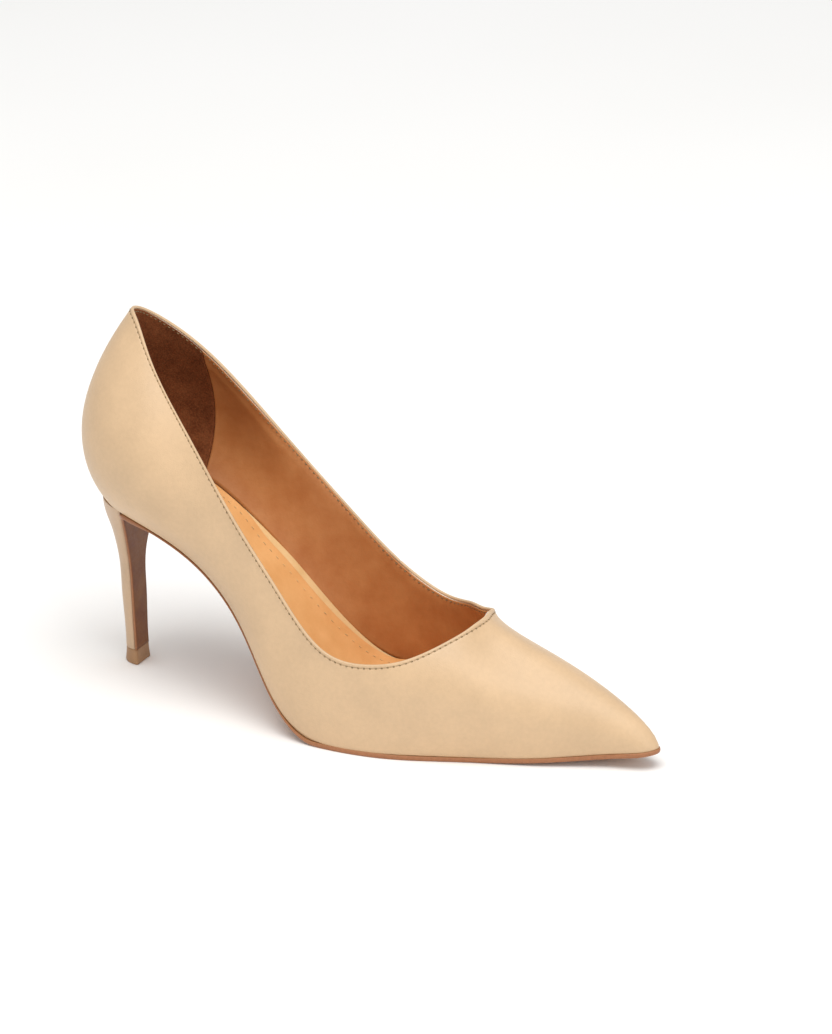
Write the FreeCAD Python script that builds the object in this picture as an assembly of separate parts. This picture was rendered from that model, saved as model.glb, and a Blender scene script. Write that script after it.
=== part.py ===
"""High heel pump, right shoe: pointed toe, slim covered heel, one-piece leather upper.

Millimetres. +X runs from the heel to the toe, +Y to the inner (medial) side of the foot, +Z up,
and Z = 0 is the floor. The pattern is drawn with X measured from the centre of the heel's tip, and
every piece is moved at the end so that the origin is the middle of the shoe's footprint.
"""
import FreeCAD, Part
import math
import os

V = FreeCAD.Vector

# ---- driving sizes ------------------------------------------------------------------------------
SHOE_LENGTH = 235.0          # overall, back curve to toe
BALL_WIDTH = 76.0            # over the joints of the foot
HEEL_HEIGHT = 70.0           # floor to the seat at the very back
BACK_HEIGHT = 72.0           # seat to the top of the back, measured up the heel curve

UPPER = 1.1                  # upper leather
LINING = 0.8                 # lining leather and suede
STIFFENER = 0.8              # heel counter and toe puff
TAPE = 0.25                  # topline and seam tapes
CEMENT = 0.05                # glue line between two layers
LASTING_MARGIN = 12.0        # upper turned in under the insole
SEAT_MARGIN = 4.6            # the same at the very back, short of the shank
SEAM_GAP = 0.3               # between the two butted edges of the upper

OUTSOLE = 1.8
INSOLE_BOARD = 1.4
SHANK_BOARD = 1.0
INSOLE_COVER = 0.5
HEEL_CUSHION = 1.5
SOCK = 1.0
INSOLE_INSET = 3.1           # from the feather edge to the edge of the insole board
SOLE_PROUD = 0.5             # how far the outsole shows past the feather edge

COVER = 0.7                  # leather round the heel
BREAST_FLAP = 1.0            # sole leather down the heel's breast
TOP_PIECE_HEIGHT = 6.0
TUBE_DIAMETER = 3.4
TUBE_BORE = 2.4
TUBE_LENGTH = 46.0
PIN_FIT = 0.02               # pin of the top piece in the tube, on the radius
PIN_LENGTH = 14.0
SHANK_WIDTH = 11.0
SHANK_STEEL = 1.0
SCREW_DIAMETER = 3.5
SCREW_LENGTH = 16.0
NAIL_DIAMETER = 1.6
NAIL_LENGTH = 13.0
HOLE_ROOM = 0.1              # a driven screw, nail or rivet in its hole, on the radius

# ---- the pattern, drawn for the sample size -----------------------------------------------------
SAMPLE_LENGTH = 235.0
SAMPLE_WIDTH = 76.0
SAMPLE_HEEL = 70.0
SAMPLE_BACK = 72.0
LONG = SHOE_LENGTH / SAMPLE_LENGTH
WIDE = BALL_WIDTH / SAMPLE_WIDTH
TALL = HEEL_HEIGHT / SAMPLE_HEEL
DEEP = BACK_HEIGHT / SAMPLE_BACK

BACK_OF_SHOE = -19.2 * LONG  # furthest point of the heel curve behind the heel tip
MIDDLE_Y = -0.9 * WIDE       # middle of the width, a little to the outer side of the heel tip
BACK_X = -12.0 * LONG        # bottom profile: back of the seat
WAIST_X = 50.0 * LONG        # where the waist is steepest
WAIST_Z = 40.3 * TALL
BALL_X = 95.0 * LONG         # the tread starts
TREAD_END_X = 142.0 * LONG   # the toe spring starts
TOE_X = 215.0 * LONG
TOE_SPRING = 6.0
SEAT_SLOPE = -0.12 * TALL / LONG
WAIST_SLOPE = -1.03 * TALL / LONG

# Stations round the shoe, from the back along the outer side to the toe and home along the inner
# side. Each row: feather edge x, y | topline x, y, height above the bottom profile | how the wall
# leaves the feather edge: outwards, upwards | how it meets the topline: inwards, upwards.
STATIONS = (
    (-9.3, 0.0, -0.2, -0.1, 74.8, 0.62, 0.99, 0.70, 1.01),
    (-4.4, -14.8, 5.0, -6.1, 74.1, 0.73, 1.00, 0.79, 0.97),
    (8.0, -21.0, 14.4, -13.5, 66.7, 1.10, 1.04, 0.68, 0.78),
    (32.0, -20.6, 35.4, -23.0, 54.0, 1.02, 1.06, 0.53, 0.90),
    (56.0, -24.5, 56.9, -28.6, 46.8, 0.52, 0.93, 0.10, 0.96),
    (77.0, -35.5, 77.5, -32.4, 46.6, 0.22, 1.00, 0.11, 1.06),
    (98.0, -38.5, 97.0, -35.9, 38.2, 0.21, 1.09, 0.04, 0.80),
    (124.0, -35.5, 115.4, -34.5, 35.7, 0.06, 0.74, 0.32, 1.05),
    (150.0, -25.5, 129.4, -29.8, 39.1, 0.27, 0.77, 0.55, 0.90),
    (178.0, -15.3, 141.4, -17.8, 45.1, 0.13, 0.92, 0.69, 0.69),
    (203.0, -5.0, 146.9, -8.8, 48.3, 0.19, 0.72, 0.03, 0.47),
    (212.8, -1.7, 147.1, -3.2, 48.2, -0.02, 0.55, -0.05, 0.20),
    (215.6, 2.5, 146.5, 0.8, 47.8, -0.08, 0.55, -0.02, 0.18),
    (212.3, 6.5, 145.6, 4.8, 47.3, -0.00, 0.65, -0.07, 0.23),
    (199.0, 10.5, 144.3, 10.4, 46.2, 0.23, 1.03, 0.03, 0.53),
    (172.0, 18.5, 137.2, 16.5, 43.2, 0.25, 1.13, 0.63, 0.92),
    (144.0, 29.0, 127.0, 25.4, 39.9, 0.22, 0.71, 0.57, 0.94),
    (118.0, 36.0, 113.0, 33.1, 37.2, 0.11, 0.62, 0.08, 0.68),
    (92.0, 35.0, 92.9, 35.6, 45.4, 0.05, 1.13, 0.04, 0.86),
    (72.0, 27.5, 73.9, 34.0, 49.6, 0.32, 0.97, 0.00, 0.98),
    (54.0, 22.0, 55.8, 30.3, 48.1, 0.50, 0.94, -0.03, 0.96),
    (32.0, 20.5, 33.8, 25.3, 52.8, 0.88, 1.04, 0.46, 0.95),
    (8.0, 21.0, 9.9, 19.9, 63.0, 0.97, 1.03, 0.47, 0.81),
    (-4.4, 14.8, 0.0, 9.4, 71.2, 0.68, 1.01, 0.56, 0.94),
)
TOE_STATION = 12
SEAM_STATION = 18            # the upper is butted here, on the inner side
COLUMNS_PER_STATION = 3
WALL_ROWS = 11

# The heel, as D-shaped sections: height as a share of the heel's height, then in the sample size
# the breast face's x, half the width, and the depth behind the breast.
HEEL_SECTIONS = (
    (0.00, 2.7, 5.10, 7.2),
    (0.10, 2.2, 4.80, 6.5),
    (0.40, 1.4, 5.25, 7.1),
    (0.60, 0.9, 6.00, 7.5),
    (0.71, 1.2, 8.30, 8.8),
    (0.81, 2.0, 11.50, 10.8),
    (0.91, 3.2, 15.50, 13.5),
    (1.00, 5.2, 19.80, 15.3),
    (1.08, 6.5, 21.50, 16.6),
)

# ---- layers over the bottom profile, each measured square to it ----------------------------------
MARGIN_UNDER = OUTSOLE + CEMENT
MARGIN_TOP = MARGIN_UNDER + UPPER
BOARD_UNDER = MARGIN_TOP + CEMENT
BOARD_TOP = BOARD_UNDER + INSOLE_BOARD
BACKING_UNDER = BOARD_TOP + CEMENT
BACKING_TOP = BACKING_UNDER + SHANK_BOARD
COVER_UNDER = BACKING_TOP + CEMENT
COVER_TOP = COVER_UNDER + INSOLE_COVER
SOCK_UNDER = COVER_TOP + CEMENT
WALL_FOOT = BACKING_TOP      # linings stand on the insole's edge from here up

CUSHION_FRONT_X = 48.0 * LONG
CUSHION_RAMP = 12.0
BACKING_SPLIT_X = 82.0 * LONG
SOCK_WAIST_IN = 4.5          # the sock is drawn in at the waist, inner side and outer side
SOCK_WAIST_OUT = 4.5
SOCK_STITCH_IN = 5.0
SOCK_STITCH_END_X = 120.0 * LONG
SCREW_X = -1.5 * LONG
NAIL_PLACES = ((0.6, 7.4), (-4.6, 5.2))
RIVET_PLACES = (30.0, 66.0)
RIVET_DIAMETER = 3.2


# ---- curves ---------------------------------------------------------------------------------------
def hermite(start, end, start_slope, end_slope, x0, x1, x):
    """Cubic from (x0, start) to (x1, end) with the slopes given."""
    t = (x - x0) / (x1 - x0)
    span = x1 - x0
    return ((2 * t**3 - 3 * t**2 + 1) * start + (t**3 - 2 * t**2 + t) * span * start_slope
            + (3 * t**2 - 2 * t**3) * end + (t**3 - t**2) * span * end_slope)


def bottom(x):
    """Height of the outsole's underside over the floor: seat, waist, flat tread, toe spring."""
    if x < BACK_X:
        return HEEL_HEIGHT + SEAT_SLOPE * (x - BACK_X)
    if x < WAIST_X:
        return hermite(HEEL_HEIGHT, WAIST_Z, SEAT_SLOPE, WAIST_SLOPE, BACK_X, WAIST_X, x)
    if x < BALL_X:
        return hermite(WAIST_Z, 0.0, WAIST_SLOPE, 0.0, WAIST_X, BALL_X, x)
    if x < TREAD_END_X:
        return 0.0
    return TOE_SPRING * ((x - TREAD_END_X) / (TOE_X - TREAD_END_X)) ** 2


def level(x, height, y=0.0):
    """The point over station x at a height measured square to the bottom profile."""
    step = 0.05
    slope = (bottom(x + step) - bottom(x - step)) / (2 * step)
    length = math.sqrt(1 + slope * slope)
    return V(x - slope / length * height, y, bottom(x) + height / length)


def level_z(x, height):
    """Height over the floor of that level, at the place x itself."""
    step = 0.05
    slope = (bottom(x + step) - bottom(x - step)) / (2 * step)
    return bottom(x) + height * math.sqrt(1 + slope * slope)


def ramp(value, low, high):
    """0 below low, 1 above high, smooth between."""
    t = min(1.0, max(0.0, (value - low) / (high - low)))
    return t * t * (3 - 2 * t)


class Wall:
    """The outside of the shoe between the feather edge (v = 0) and the topline (v = 1)."""

    def __init__(self):
        feather = []
        topline = []
        for row in STATIONS:
            feather.append(level(row[0] * LONG, OUTSOLE + CEMENT, row[1] * WIDE))
            top_x = row[2] * LONG
            topline.append(V(top_x, row[3] * WIDE, bottom(top_x) + row[4] * DEEP))
        count = len(STATIONS)
        self.stations = [0.0]
        for i in range(count):
            after = (i + 1) % count
            run = (feather[after] - feather[i]).Length + (topline[after] - topline[i]).Length
            self.stations.append(self.stations[-1] + run / 2)
        self.around = self.stations[-1]
        self.feather = self.closed_curve(feather)
        self.topline = self.closed_curve(topline)
        leaving = []
        meeting = []
        for i, row in enumerate(STATIONS):
            run = self.feather.tangent(self.stations[i])[0]
            outward = V(run.y, -run.x, 0)
            outward.normalize()
            if i == 0:
                self.turn = 1.0 if outward.x < 0 else -1.0
            outward = outward * self.turn
            reach = (topline[i] - feather[i]).Length
            leaving.append((outward * row[5] + V(0, 0, row[6])) * reach)
            meeting.append((V(0, 0, row[8]) - outward * row[7]) * reach)
        self.leaving = self.closed_curve(leaving)
        self.meeting = self.closed_curve(meeting)

    def closed_curve(self, points):
        curve = Part.BSplineCurve()
        curve.interpolate(Points=points, PeriodicFlag=True, Parameters=self.stations)
        return curve

    def point(self, u, v):
        """Cubic blend in v from the feather edge to the topline."""
        u = u % self.around
        return (self.feather.value(u) * (2 * v**3 - 3 * v**2 + 1)
                + self.topline.value(u) * (3 * v**2 - 2 * v**3)
                + self.leaving.value(u) * (v**3 - 2 * v**2 + v)
                + self.meeting.value(u) * (v**3 - v**2))

    def inward(self, u, v):
        """Unit vector square to the surface, into the shoe."""
        step = 0.02
        low = max(0.0, v - step)
        high = min(1.0, v + step)
        along = self.point(u + step, v) - self.point(u - step, v)
        up = self.point(u, high) - self.point(u, low)
        normal = up.cross(along) * self.turn
        normal.normalize()
        return normal

    def layer(self, u, v, depth):
        return self.point(u, v) + self.inward(u, v) * depth

    def columns(self, start, end):
        """Places round the shoe from start to end, denser where the stations are."""
        places = [start]
        turns = [0.0, self.around]
        for turn in turns:
            for i in range(len(STATIONS)):
                for part in range(COLUMNS_PER_STATION):
                    share = part / COLUMNS_PER_STATION
                    u = turn + self.stations[i] * (1 - share) + self.stations[i + 1] * share
                    if start + 0.6 < u < end - 0.6:
                        places.append(u)
        places.append(end)
        if len(places) < 5:
            return [start + (end - start) * k / 4 for k in range(5)]
        return places


WALL = Wall()
SEAM = WALL.stations[SEAM_STATION]


def share_up(u, height):
    """The v of a place that lies so far up the wall from the feather edge at u."""
    run = (WALL.topline.value(u % WALL.around) - WALL.feather.value(u % WALL.around)).Length
    return height / (run * 1.06)


# ---- building blocks ------------------------------------------------------------------------------
def solid_from(faces):
    shell = Part.makeShell(faces)
    shell.sewShape()
    solid = Part.makeSolid(shell)
    if solid.Volume < 0:
        solid.reverse()
    return solid


def spline(points, parameters=None):
    curve = Part.BSplineCurve()
    if parameters:
        curve.interpolate(Points=points, Parameters=parameters)
    else:
        curve.interpolate(Points=points)
    return curve


def surface_through(rows, along, across):
    """Cubic surface through a grid of points, at the parameters given in both directions."""
    lengthwise = [spline([row[k] for row in rows], along) for k in range(len(across))]
    columns = zip(*[curve.getPoles() for curve in lengthwise])
    crosswise = [spline(list(column), across) for column in columns]
    surface = Part.BSplineSurface()
    surface.buildFromPolesMultsKnots(
        [curve.getPoles() for curve in crosswise],
        lengthwise[0].getMultiplicities(), crosswise[0].getMultiplicities(),
        lengthwise[0].getKnots(), crosswise[0].getKnots(), False, False, 3, 3)
    return surface


def edges_of(surface):
    """The four border edges: first row, last row, first column, last column."""
    u0, u1, v0, v1 = surface.bounds()
    return (surface.uIso(u0).toShape(), surface.uIso(u1).toShape(),
            surface.vIso(v0).toShape(), surface.vIso(v1).toShape())


def slab(outside, inside, along=None):
    """A closed solid between two grids of points of the same size."""
    rows = along or [float(i) for i in range(len(outside))]
    columns = [float(k) for k in range(len(outside[0]))]
    outer = surface_through(outside, rows, columns)
    inner = surface_through(inside, rows, columns)
    faces = [outer.toShape(), inner.toShape()]
    for outer_edge, inner_edge in zip(edges_of(outer), edges_of(inner)):
        faces.append(Part.makeRuledSurface(outer_edge, inner_edge))
    return solid_from(faces)


def wall_piece(start, end, low, high, outer_depth, inner_depth, rows=WALL_ROWS):
    """A layer of the wall. low and high give v for a u; the depths give millimetres."""
    outside = []
    inside = []
    places = WALL.columns(start, end)
    for u in places:
        outer_row = []
        inner_row = []
        for k in range(rows):
            v = low(u) + (high(u) - low(u)) * k / (rows - 1)
            outer_row.append(WALL.layer(u, v, outer_depth(u, v)))
            inner_row.append(WALL.layer(u, v, inner_depth(u, v)))
        outside.append(outer_row)
        inside.append(inner_row)
    return slab(outside, inside, places)


def profile_edges(height, start, end):
    """Edges at a level from start to end; the tread between ball and toe spring stays flat."""
    breaks = [start]
    for place in (BALL_X, TREAD_END_X):
        if start < place < end:
            breaks.append(place)
    breaks.append(end)
    edges = []
    for low, high in zip(breaks[:-1], breaks[1:]):
        steps = max(2, int((high - low) / 5))
        points = []
        for k in range(steps + 1):
            x = low + (high - low) * k / steps
            points.append(level(x, height(x), -100.0))
        if low == BALL_X and high == TREAD_END_X:
            edges.append(Part.makeLine(points[0], points[-1]))
        else:
            edges.append(spline(points).toShape())
    return edges


def band(lower, upper, start, end):
    """The space between two levels, right across the shoe."""
    under = profile_edges(lower, start, end)
    over = profile_edges(upper, start, end)
    close_front = Part.makeLine(under[-1].Vertexes[-1].Point, over[-1].Vertexes[-1].Point)
    close_back = Part.makeLine(under[0].Vertexes[0].Point, over[0].Vertexes[0].Point)
    wire = Part.Wire(Part.__sortEdges__(under + [close_front] + over + [close_back]))
    return Part.Face(wire).extrude(V(0, 200, 0))


def inset_outline(inset):
    """Plan points of the feather edge moved inwards, without the ones that cross over."""
    edge = []
    for u in WALL.columns(0.0, WALL.around)[:-1]:
        point = WALL.feather.value(u)
        run = WALL.feather.tangent(u)[0]
        inward = V(-run.y, run.x, 0) * WALL.turn
        inward.normalize()
        edge.append((V(point.x, point.y, 0), inward))
    dense = [WALL.feather.value(WALL.around * k / 400.0) for k in range(400)]
    dense = [V(p.x, p.y, 0) for p in dense]
    kept = []
    for point, inward in edge:
        moved = point + inward * inset
        nearest = min((moved - other).Length for other in dense)
        apart = not kept or (moved - kept[-1]).Length > 1.2
        if nearest > abs(inset) * 0.97 - 0.05 and apart:
            kept.append(moved)
    return kept


def outline_prism(points):
    """An upright prism over a closed smooth outline."""
    curve = Part.BSplineCurve()
    curve.interpolate(Points=points, PeriodicFlag=True)
    face = Part.Face(Part.Wire(curve.toShape()))
    face.translate(V(0, 0, -20))
    return face.extrude(V(0, 0, 220))


def constant(value):
    return lambda *place: value


def plate(points, lower, upper, start=None, end=None):
    """A layer of the bottom: the plan outline between two levels."""
    first = BACK_OF_SHOE - 5 if start is None else start
    last = TOE_X + 15 if end is None else end
    return outline_prism(points).common(band(lower, upper, first, last))


def cylinder_between(start, end, radius):
    run = end - start
    return Part.makeCylinder(radius, run.Length, start, run)


# ---- upper, linings, stiffeners and tapes ---------------------------------------------------------
COUNTER_REACH = WALL.stations[3] + 9.0
COUNTER_FRONT_X = 44.0 * LONG
COUNTER_TOP = 0.86
PUFF_BACK_X = 162.0 * LONG
STIFFENER_SKIVE = 12.0
LINING_OUTER = UPPER + 2 * CEMENT + TAPE
LINING_SPLIT_OUT = WALL.stations[2] + 9.0
LINING_SPLIT_IN = WALL.stations[22] - 9.0


def stiffened(u, v):
    """1 where the heel counter or the toe puff lies under the upper, 0 away from them."""
    x = WALL.point(u, v).x
    back = 1 - ramp(x, COUNTER_FRONT_X, COUNTER_FRONT_X + STIFFENER_SKIVE)
    back *= 1 - ramp(v, COUNTER_TOP, COUNTER_TOP + 0.08)
    front = ramp(x, PUFF_BACK_X - STIFFENER_SKIVE, PUFF_BACK_X)
    return max(back, front)


def v_at_x(u, x):
    """How far up the vamp at u the wall comes back to the place x."""
    low = 0.0
    high = 1.0
    for repeat in range(20):
        middle = (low + high) / 2
        if WALL.point(u, middle).x > x:
            low = middle
        else:
            high = middle
    return low


def lining_outer(u, v):
    return LINING_OUTER + (STIFFENER + CEMENT - TAPE) * stiffened(u, v)


def lining_inner(u, v):
    return lining_outer(u, v) + LINING


def turned_in(u, reach, height):
    """A point of the lasting margin, so far in from the feather edge and at the level given."""
    edge = WALL.feather.value(u % WALL.around)
    run = WALL.feather.tangent(u % WALL.around)[0]
    inward = V(-run.y, run.x, 0) * WALL.turn
    inward.normalize()
    x = edge.x + inward.x * reach
    return V(x, edge.y + inward.y * reach, level_z(x, height))


def margin_reach(u):
    """Margin width: full at the sides, less round the narrow toe and behind the shank's end."""
    toe = abs(u % WALL.around - WALL.stations[TOE_STATION])
    side = 2.6 + (LASTING_MARGIN - 2.6) * ramp(toe, 4.0, 60.0)
    back = abs((u + WALL.around / 2) % WALL.around - WALL.around / 2)
    return SEAT_MARGIN + (side - SEAT_MARGIN) * ramp(back, 6.0, 24.0)


def make_upper():
    """The wall and the margin turned in under the insole, as one strip butted at the side seam."""
    outside = []
    inside = []
    under_edge = []
    over_edge = []
    places = WALL.columns(SEAM + SEAM_GAP / 2, SEAM + WALL.around - SEAM_GAP / 2)
    for u in places:
        wall = WALL.topline.value(u % WALL.around) - WALL.feather.value(u % WALL.around)
        foot = UPPER / wall.Length
        outer_row = []
        inner_row = []
        for k in range(WALL_ROWS):
            share = k / (WALL_ROWS - 1)
            outer_row.append(WALL.layer(u, share, 0.0))
            inner_row.append(WALL.layer(u, foot + (1 - foot) * share, UPPER))
        outside.append(outer_row)
        inside.append(inner_row)
        under_edge.append(turned_in(u, margin_reach(u), MARGIN_UNDER))
        over_edge.append(turned_in(u, margin_reach(u), MARGIN_TOP))
    rows = [float(k) for k in range(WALL_ROWS)]
    outer = surface_through(outside, places, rows)
    inner = surface_through(inside, places, rows)
    outer_edges = edges_of(outer)
    inner_edges = edges_of(inner)
    under = spline(under_edge, places).toShape()
    over = spline(over_edge, places).toShape()
    faces = [outer.toShape(), inner.toShape(),
             Part.makeRuledSurface(outer_edges[3], inner_edges[3]),
             Part.makeRuledSurface(outer_edges[2], under),
             Part.makeRuledSurface(inner_edges[2], over),
             Part.makeRuledSurface(under, over)]
    for end, edge in ((0, 0), (-1, 1)):
        faces.append(Part.makeRuledSurface(outer_edges[edge], inner_edges[edge]))
        faces.append(Part.makeRuledSurface(Part.makeLine(outside[end][0], under_edge[end]),
                                           Part.makeLine(inside[end][0], over_edge[end])))
    return solid_from(faces)


def make_side_seam_tape():
    return wall_piece(SEAM - 4.0, SEAM + 4.0, constant(0.08), constant(0.84),
                      constant(UPPER + CEMENT), constant(UPPER + CEMENT + TAPE), 7)


def make_topline_tape():
    """Tape inside the folded topline edge, butted beside the side seam."""
    def low(u):
        return 1 - share_up(u, 5.5)

    def high(u):
        return 1 - share_up(u, 1.2)
    return wall_piece(SEAM + 5.0, SEAM + WALL.around - 5.0, low, high,
                      constant(UPPER + CEMENT), constant(UPPER + CEMENT + TAPE), 5)


def make_topline_stitching():
    """The thread round the topline, standing just proud of the leather."""
    def low(u):
        return 1 - share_up(u, 2.0)

    def high(u):
        return 1 - share_up(u, 1.5)
    return wall_piece(SEAM + 0.5, SEAM + WALL.around - 0.5, low, high,
                      constant(-0.25), constant(-0.02), 5)


def lining_foot(u):
    return share_up(u, WALL_FOOT - OUTSOLE + 0.4)


def lining_top(u):
    return 1 - share_up(u, 0.25)


def make_forepart_lining():
    return wall_piece(LINING_SPLIT_OUT + SEAM_GAP, LINING_SPLIT_IN - SEAM_GAP, lining_foot,
                      lining_top, lining_outer, lining_inner)


def make_heel_lining():
    return wall_piece(LINING_SPLIT_IN, LINING_SPLIT_OUT + WALL.around, lining_foot,
                      lining_top, lining_outer, lining_inner)


def make_heel_counter():
    return wall_piece(WALL.around - COUNTER_REACH, WALL.around + COUNTER_REACH, lining_foot,
                      constant(COUNTER_TOP), constant(UPPER + CEMENT),
                      constant(UPPER + CEMENT + STIFFENER), 9)


def make_toe_puff():
    """Stiffener over the toes, from the toe back to a line across the vamp."""
    def low(u):
        return share_up(u, WALL_FOOT - OUTSOLE + 0.4)

    def high(u):
        return v_at_x(u, PUFF_BACK_X)
    start = WALL.stations[9]
    end = WALL.stations[15]
    while high(start) < low(start) + 0.12:
        start += 1.0
    while high(end) < low(end) + 0.12:
        end -= 1.0
    return wall_piece(start, end, low, high, constant(UPPER + CEMENT),
                      constant(UPPER + CEMENT + STIFFENER), 9)


# ---- the bottom -----------------------------------------------------------------------------------
def shank_line():
    """Centre line of the shank, seat to just behind the ball."""
    return -4.0 * LONG, 82.0 * LONG


def fastener_axis(x, y, top, length):
    """From a level over station x straight down by a length."""
    start = V(x, y, level_z(x, top))
    return start, start - V(0, 0, length)


def screw_solid(room=0.0):
    head_top, tip = fastener_axis(SCREW_X, 0.0, BOARD_TOP, SCREW_LENGTH)
    shaft = cylinder_between(head_top, tip, SCREW_DIAMETER / 2 + room)
    head = Part.makeCone(SCREW_DIAMETER * 0.95 + room, SCREW_DIAMETER / 2 + room,
                         SCREW_DIAMETER * 0.45, head_top, V(0, 0, -1))
    return shaft.fuse(head)


def nail_solids(room=0.0):
    nails = []
    for x, y in NAIL_PLACES:
        for side in (-1, 1):
            start, tip = fastener_axis(x * LONG, side * y * WIDE, BOARD_TOP, NAIL_LENGTH)
            shaft = cylinder_between(start, tip, NAIL_DIAMETER / 2 + room)
            head = Part.makeCylinder(NAIL_DIAMETER + room, 0.5, start, V(0, 0, -1))
            nails.append(shaft.fuse(head))
    return nails


def rivet_solids(room=0.0):
    rivets = []
    for place in RIVET_PLACES:
        start = level(place * LONG, MARGIN_UNDER)
        end = level(place * LONG, BOARD_TOP)
        rivets.append(cylinder_between(start, end, RIVET_DIAMETER / 2 + room))
    return rivets


def cut_by(shape, tools):
    for tool in tools:
        shape = shape.cut(tool)
    return shape


def make_steel_shank():
    """Pressed steel strip in the waist, with the holes for its rivets and the heel screw."""
    start, end = shank_line()
    half = SHANK_WIDTH / 2
    strip = band(constant(MARGIN_UNDER + CEMENT), constant(MARGIN_UNDER + CEMENT + SHANK_STEEL),
                 start, end)
    slot = Part.makeBox(end - start + 60, SHANK_WIDTH, 240, V(start - 30, -half, -20))
    shank = strip.common(slot)
    return cut_by(shank, rivet_solids(HOLE_ROOM) + [screw_solid(HOLE_ROOM)])


def make_bottom_filler():
    """Cork filler inside the lasting margin, ball to toe."""
    points = inset_outline(LASTING_MARGIN + 1.0)
    return plate(points, constant(MARGIN_UNDER + CEMENT), constant(MARGIN_TOP),
                 86.0 * LONG, 196.0 * LONG)


def make_insole_board():
    board = plate(inset_outline(INSOLE_INSET), constant(BOARD_UNDER), constant(BOARD_TOP))
    return cut_by(board, rivet_solids(HOLE_ROOM) + nail_solids(HOLE_ROOM) + [screw_solid(HOLE_ROOM)])


def make_shank_board():
    return plate(inset_outline(INSOLE_INSET), constant(BACKING_UNDER), constant(BACKING_TOP),
                 None, BACKING_SPLIT_X)


def make_ball_cushion():
    return plate(inset_outline(INSOLE_INSET), constant(BACKING_UNDER), constant(BACKING_TOP),
                 BACKING_SPLIT_X + 0.5, None)


def make_insole_cover():
    return plate(inset_outline(INSOLE_INSET + 0.1), constant(COVER_UNDER), constant(COVER_TOP))


def cushion_rise(x):
    """How far the heel cushion lifts the sock at x."""
    return (HEEL_CUSHION + CEMENT) * (1 - ramp(x, CUSHION_FRONT_X - CUSHION_RAMP, CUSHION_FRONT_X))


def make_heel_cushion():
    def top(x):
        return max(SOCK_UNDER + cushion_rise(x) - CEMENT, SOCK_UNDER + 0.15)
    return plate(inset_outline(INSOLE_INSET + 5.0), constant(SOCK_UNDER), top,
                 None, CUSHION_FRONT_X - 1.0)


def sock_outline(extra):
    """The insole's outline, drawn in at the waist so that the cover shows beside the sock."""
    points = []
    for point in inset_outline(INSOLE_INSET + 1.0 + extra):
        waist = ramp(point.x, 12.0 * LONG, 55.0 * LONG) * (1 - ramp(point.x, 62.0 * LONG, 108.0 * LONG))
        shift = SOCK_WAIST_IN if point.y > 0 else SOCK_WAIST_OUT
        side = 1.0 if point.y > 0 else -1.0
        points.append(V(point.x, point.y - side * shift * waist, 0))
    return points


def make_sock():
    def under(x):
        return SOCK_UNDER + cushion_rise(x)

    def over(x):
        return SOCK_UNDER + cushion_rise(x) + SOCK
    return plate(sock_outline(0.0), under, over)


def make_sock_stitching():
    """The thread on the sock's face: a thin strip inside its edge, round the heel and the waist."""
    inside_edge = [point for point in sock_outline(SOCK_STITCH_IN) if point.x < SOCK_STITCH_END_X]
    gap = max(range(1, len(inside_edge)), key=lambda i: (inside_edge[i] - inside_edge[i - 1]).Length)
    path = inside_edge[gap:] + inside_edge[:gap]
    over = []
    under = []
    for i in range(1, len(path) - 1):
        run = path[i + 1] - path[i - 1]
        across = V(-run.y, run.x, 0)
        across.normalize()
        over_row = []
        under_row = []
        for side in (-0.24, -0.12, 0.0, 0.12, 0.24):
            place = path[i] + across * side
            face = SOCK_UNDER + cushion_rise(place.x) + SOCK
            over_row.append(V(place.x, place.y, level_z(place.x, face + 0.15)))
            under_row.append(V(place.x, place.y, level_z(place.x, face + 0.02)))
        over.append(over_row)
        under.append(under_row)
    return slab(over, under)


def breast_meeting():
    """x and height where the heel's breast face meets the middle of the outsole's thickness."""
    x = 0.0
    for repeat in range(8):
        height = level_z(x, OUTSOLE / 2)
        x = heel_section(height)[0]
    return x, height


def make_outsole():
    """Thin sole from the heel's breast to the toe, with the flap that runs down the breast."""
    breast_x, breast_top = breast_meeting()
    sole = plate(inset_outline(-SOLE_PROUD), constant(0.0), constant(OUTSOLE),
                 breast_x - BREAST_FLAP - CEMENT / 2, None)
    low = TOP_PIECE_HEIGHT + CEMENT
    front = []
    back = []
    for k in range(13):
        z = low + (breast_top - low) * k / 12
        breast, half, depth = heel_section(z)
        front.append([V(breast, half * across / 3, z) for across in range(-3, 4)])
        back.append([V(breast - BREAST_FLAP, half * across / 3, z) for across in range(-3, 4)])
    return sole.fuse(slab(front, back))


# ---- the heel -------------------------------------------------------------------------------------
HEEL_FORM = Part.BSplineCurve()
HEEL_FORM.interpolate(Points=[V(row[1] * LONG, row[2] * WIDE, row[3] * LONG) for row in HEEL_SECTIONS],
                      Parameters=[row[0] * HEEL_HEIGHT for row in HEEL_SECTIONS])


def heel_section(z):
    """Breast x, half width and depth of the heel at a height."""
    form = HEEL_FORM.value(z)
    return form.x, form.y, form.z


def heel_rear(z, turn, inset):
    """A point of the heel's rounded back; turn runs -90 to 90 degrees, flap edge to flap edge."""
    breast, half, depth = heel_section(z)
    flat = breast - BREAST_FLAP - CEMENT
    reach = depth - BREAST_FLAP - CEMENT - inset
    return V(flat - reach * math.cos(math.radians(turn)),
             (half - inset) * math.sin(math.radians(turn)), z)


def heel_wire(z, breast_inset, inset, flare=0.0):
    """A D-shaped section: flat breast and rounded back."""
    breast, half, depth = heel_section(z)
    flat = breast - breast_inset
    points = []
    for k in range(13):
        turn = math.radians(-90 + 15 * k)
        reach = (depth + flare - inset - breast_inset)
        points.append(V(flat - reach * math.cos(turn), (half + flare - inset) * math.sin(turn), z))
    back = spline(points).toShape()
    return Part.Wire([back, Part.makeLine(points[-1], points[0])])


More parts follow.
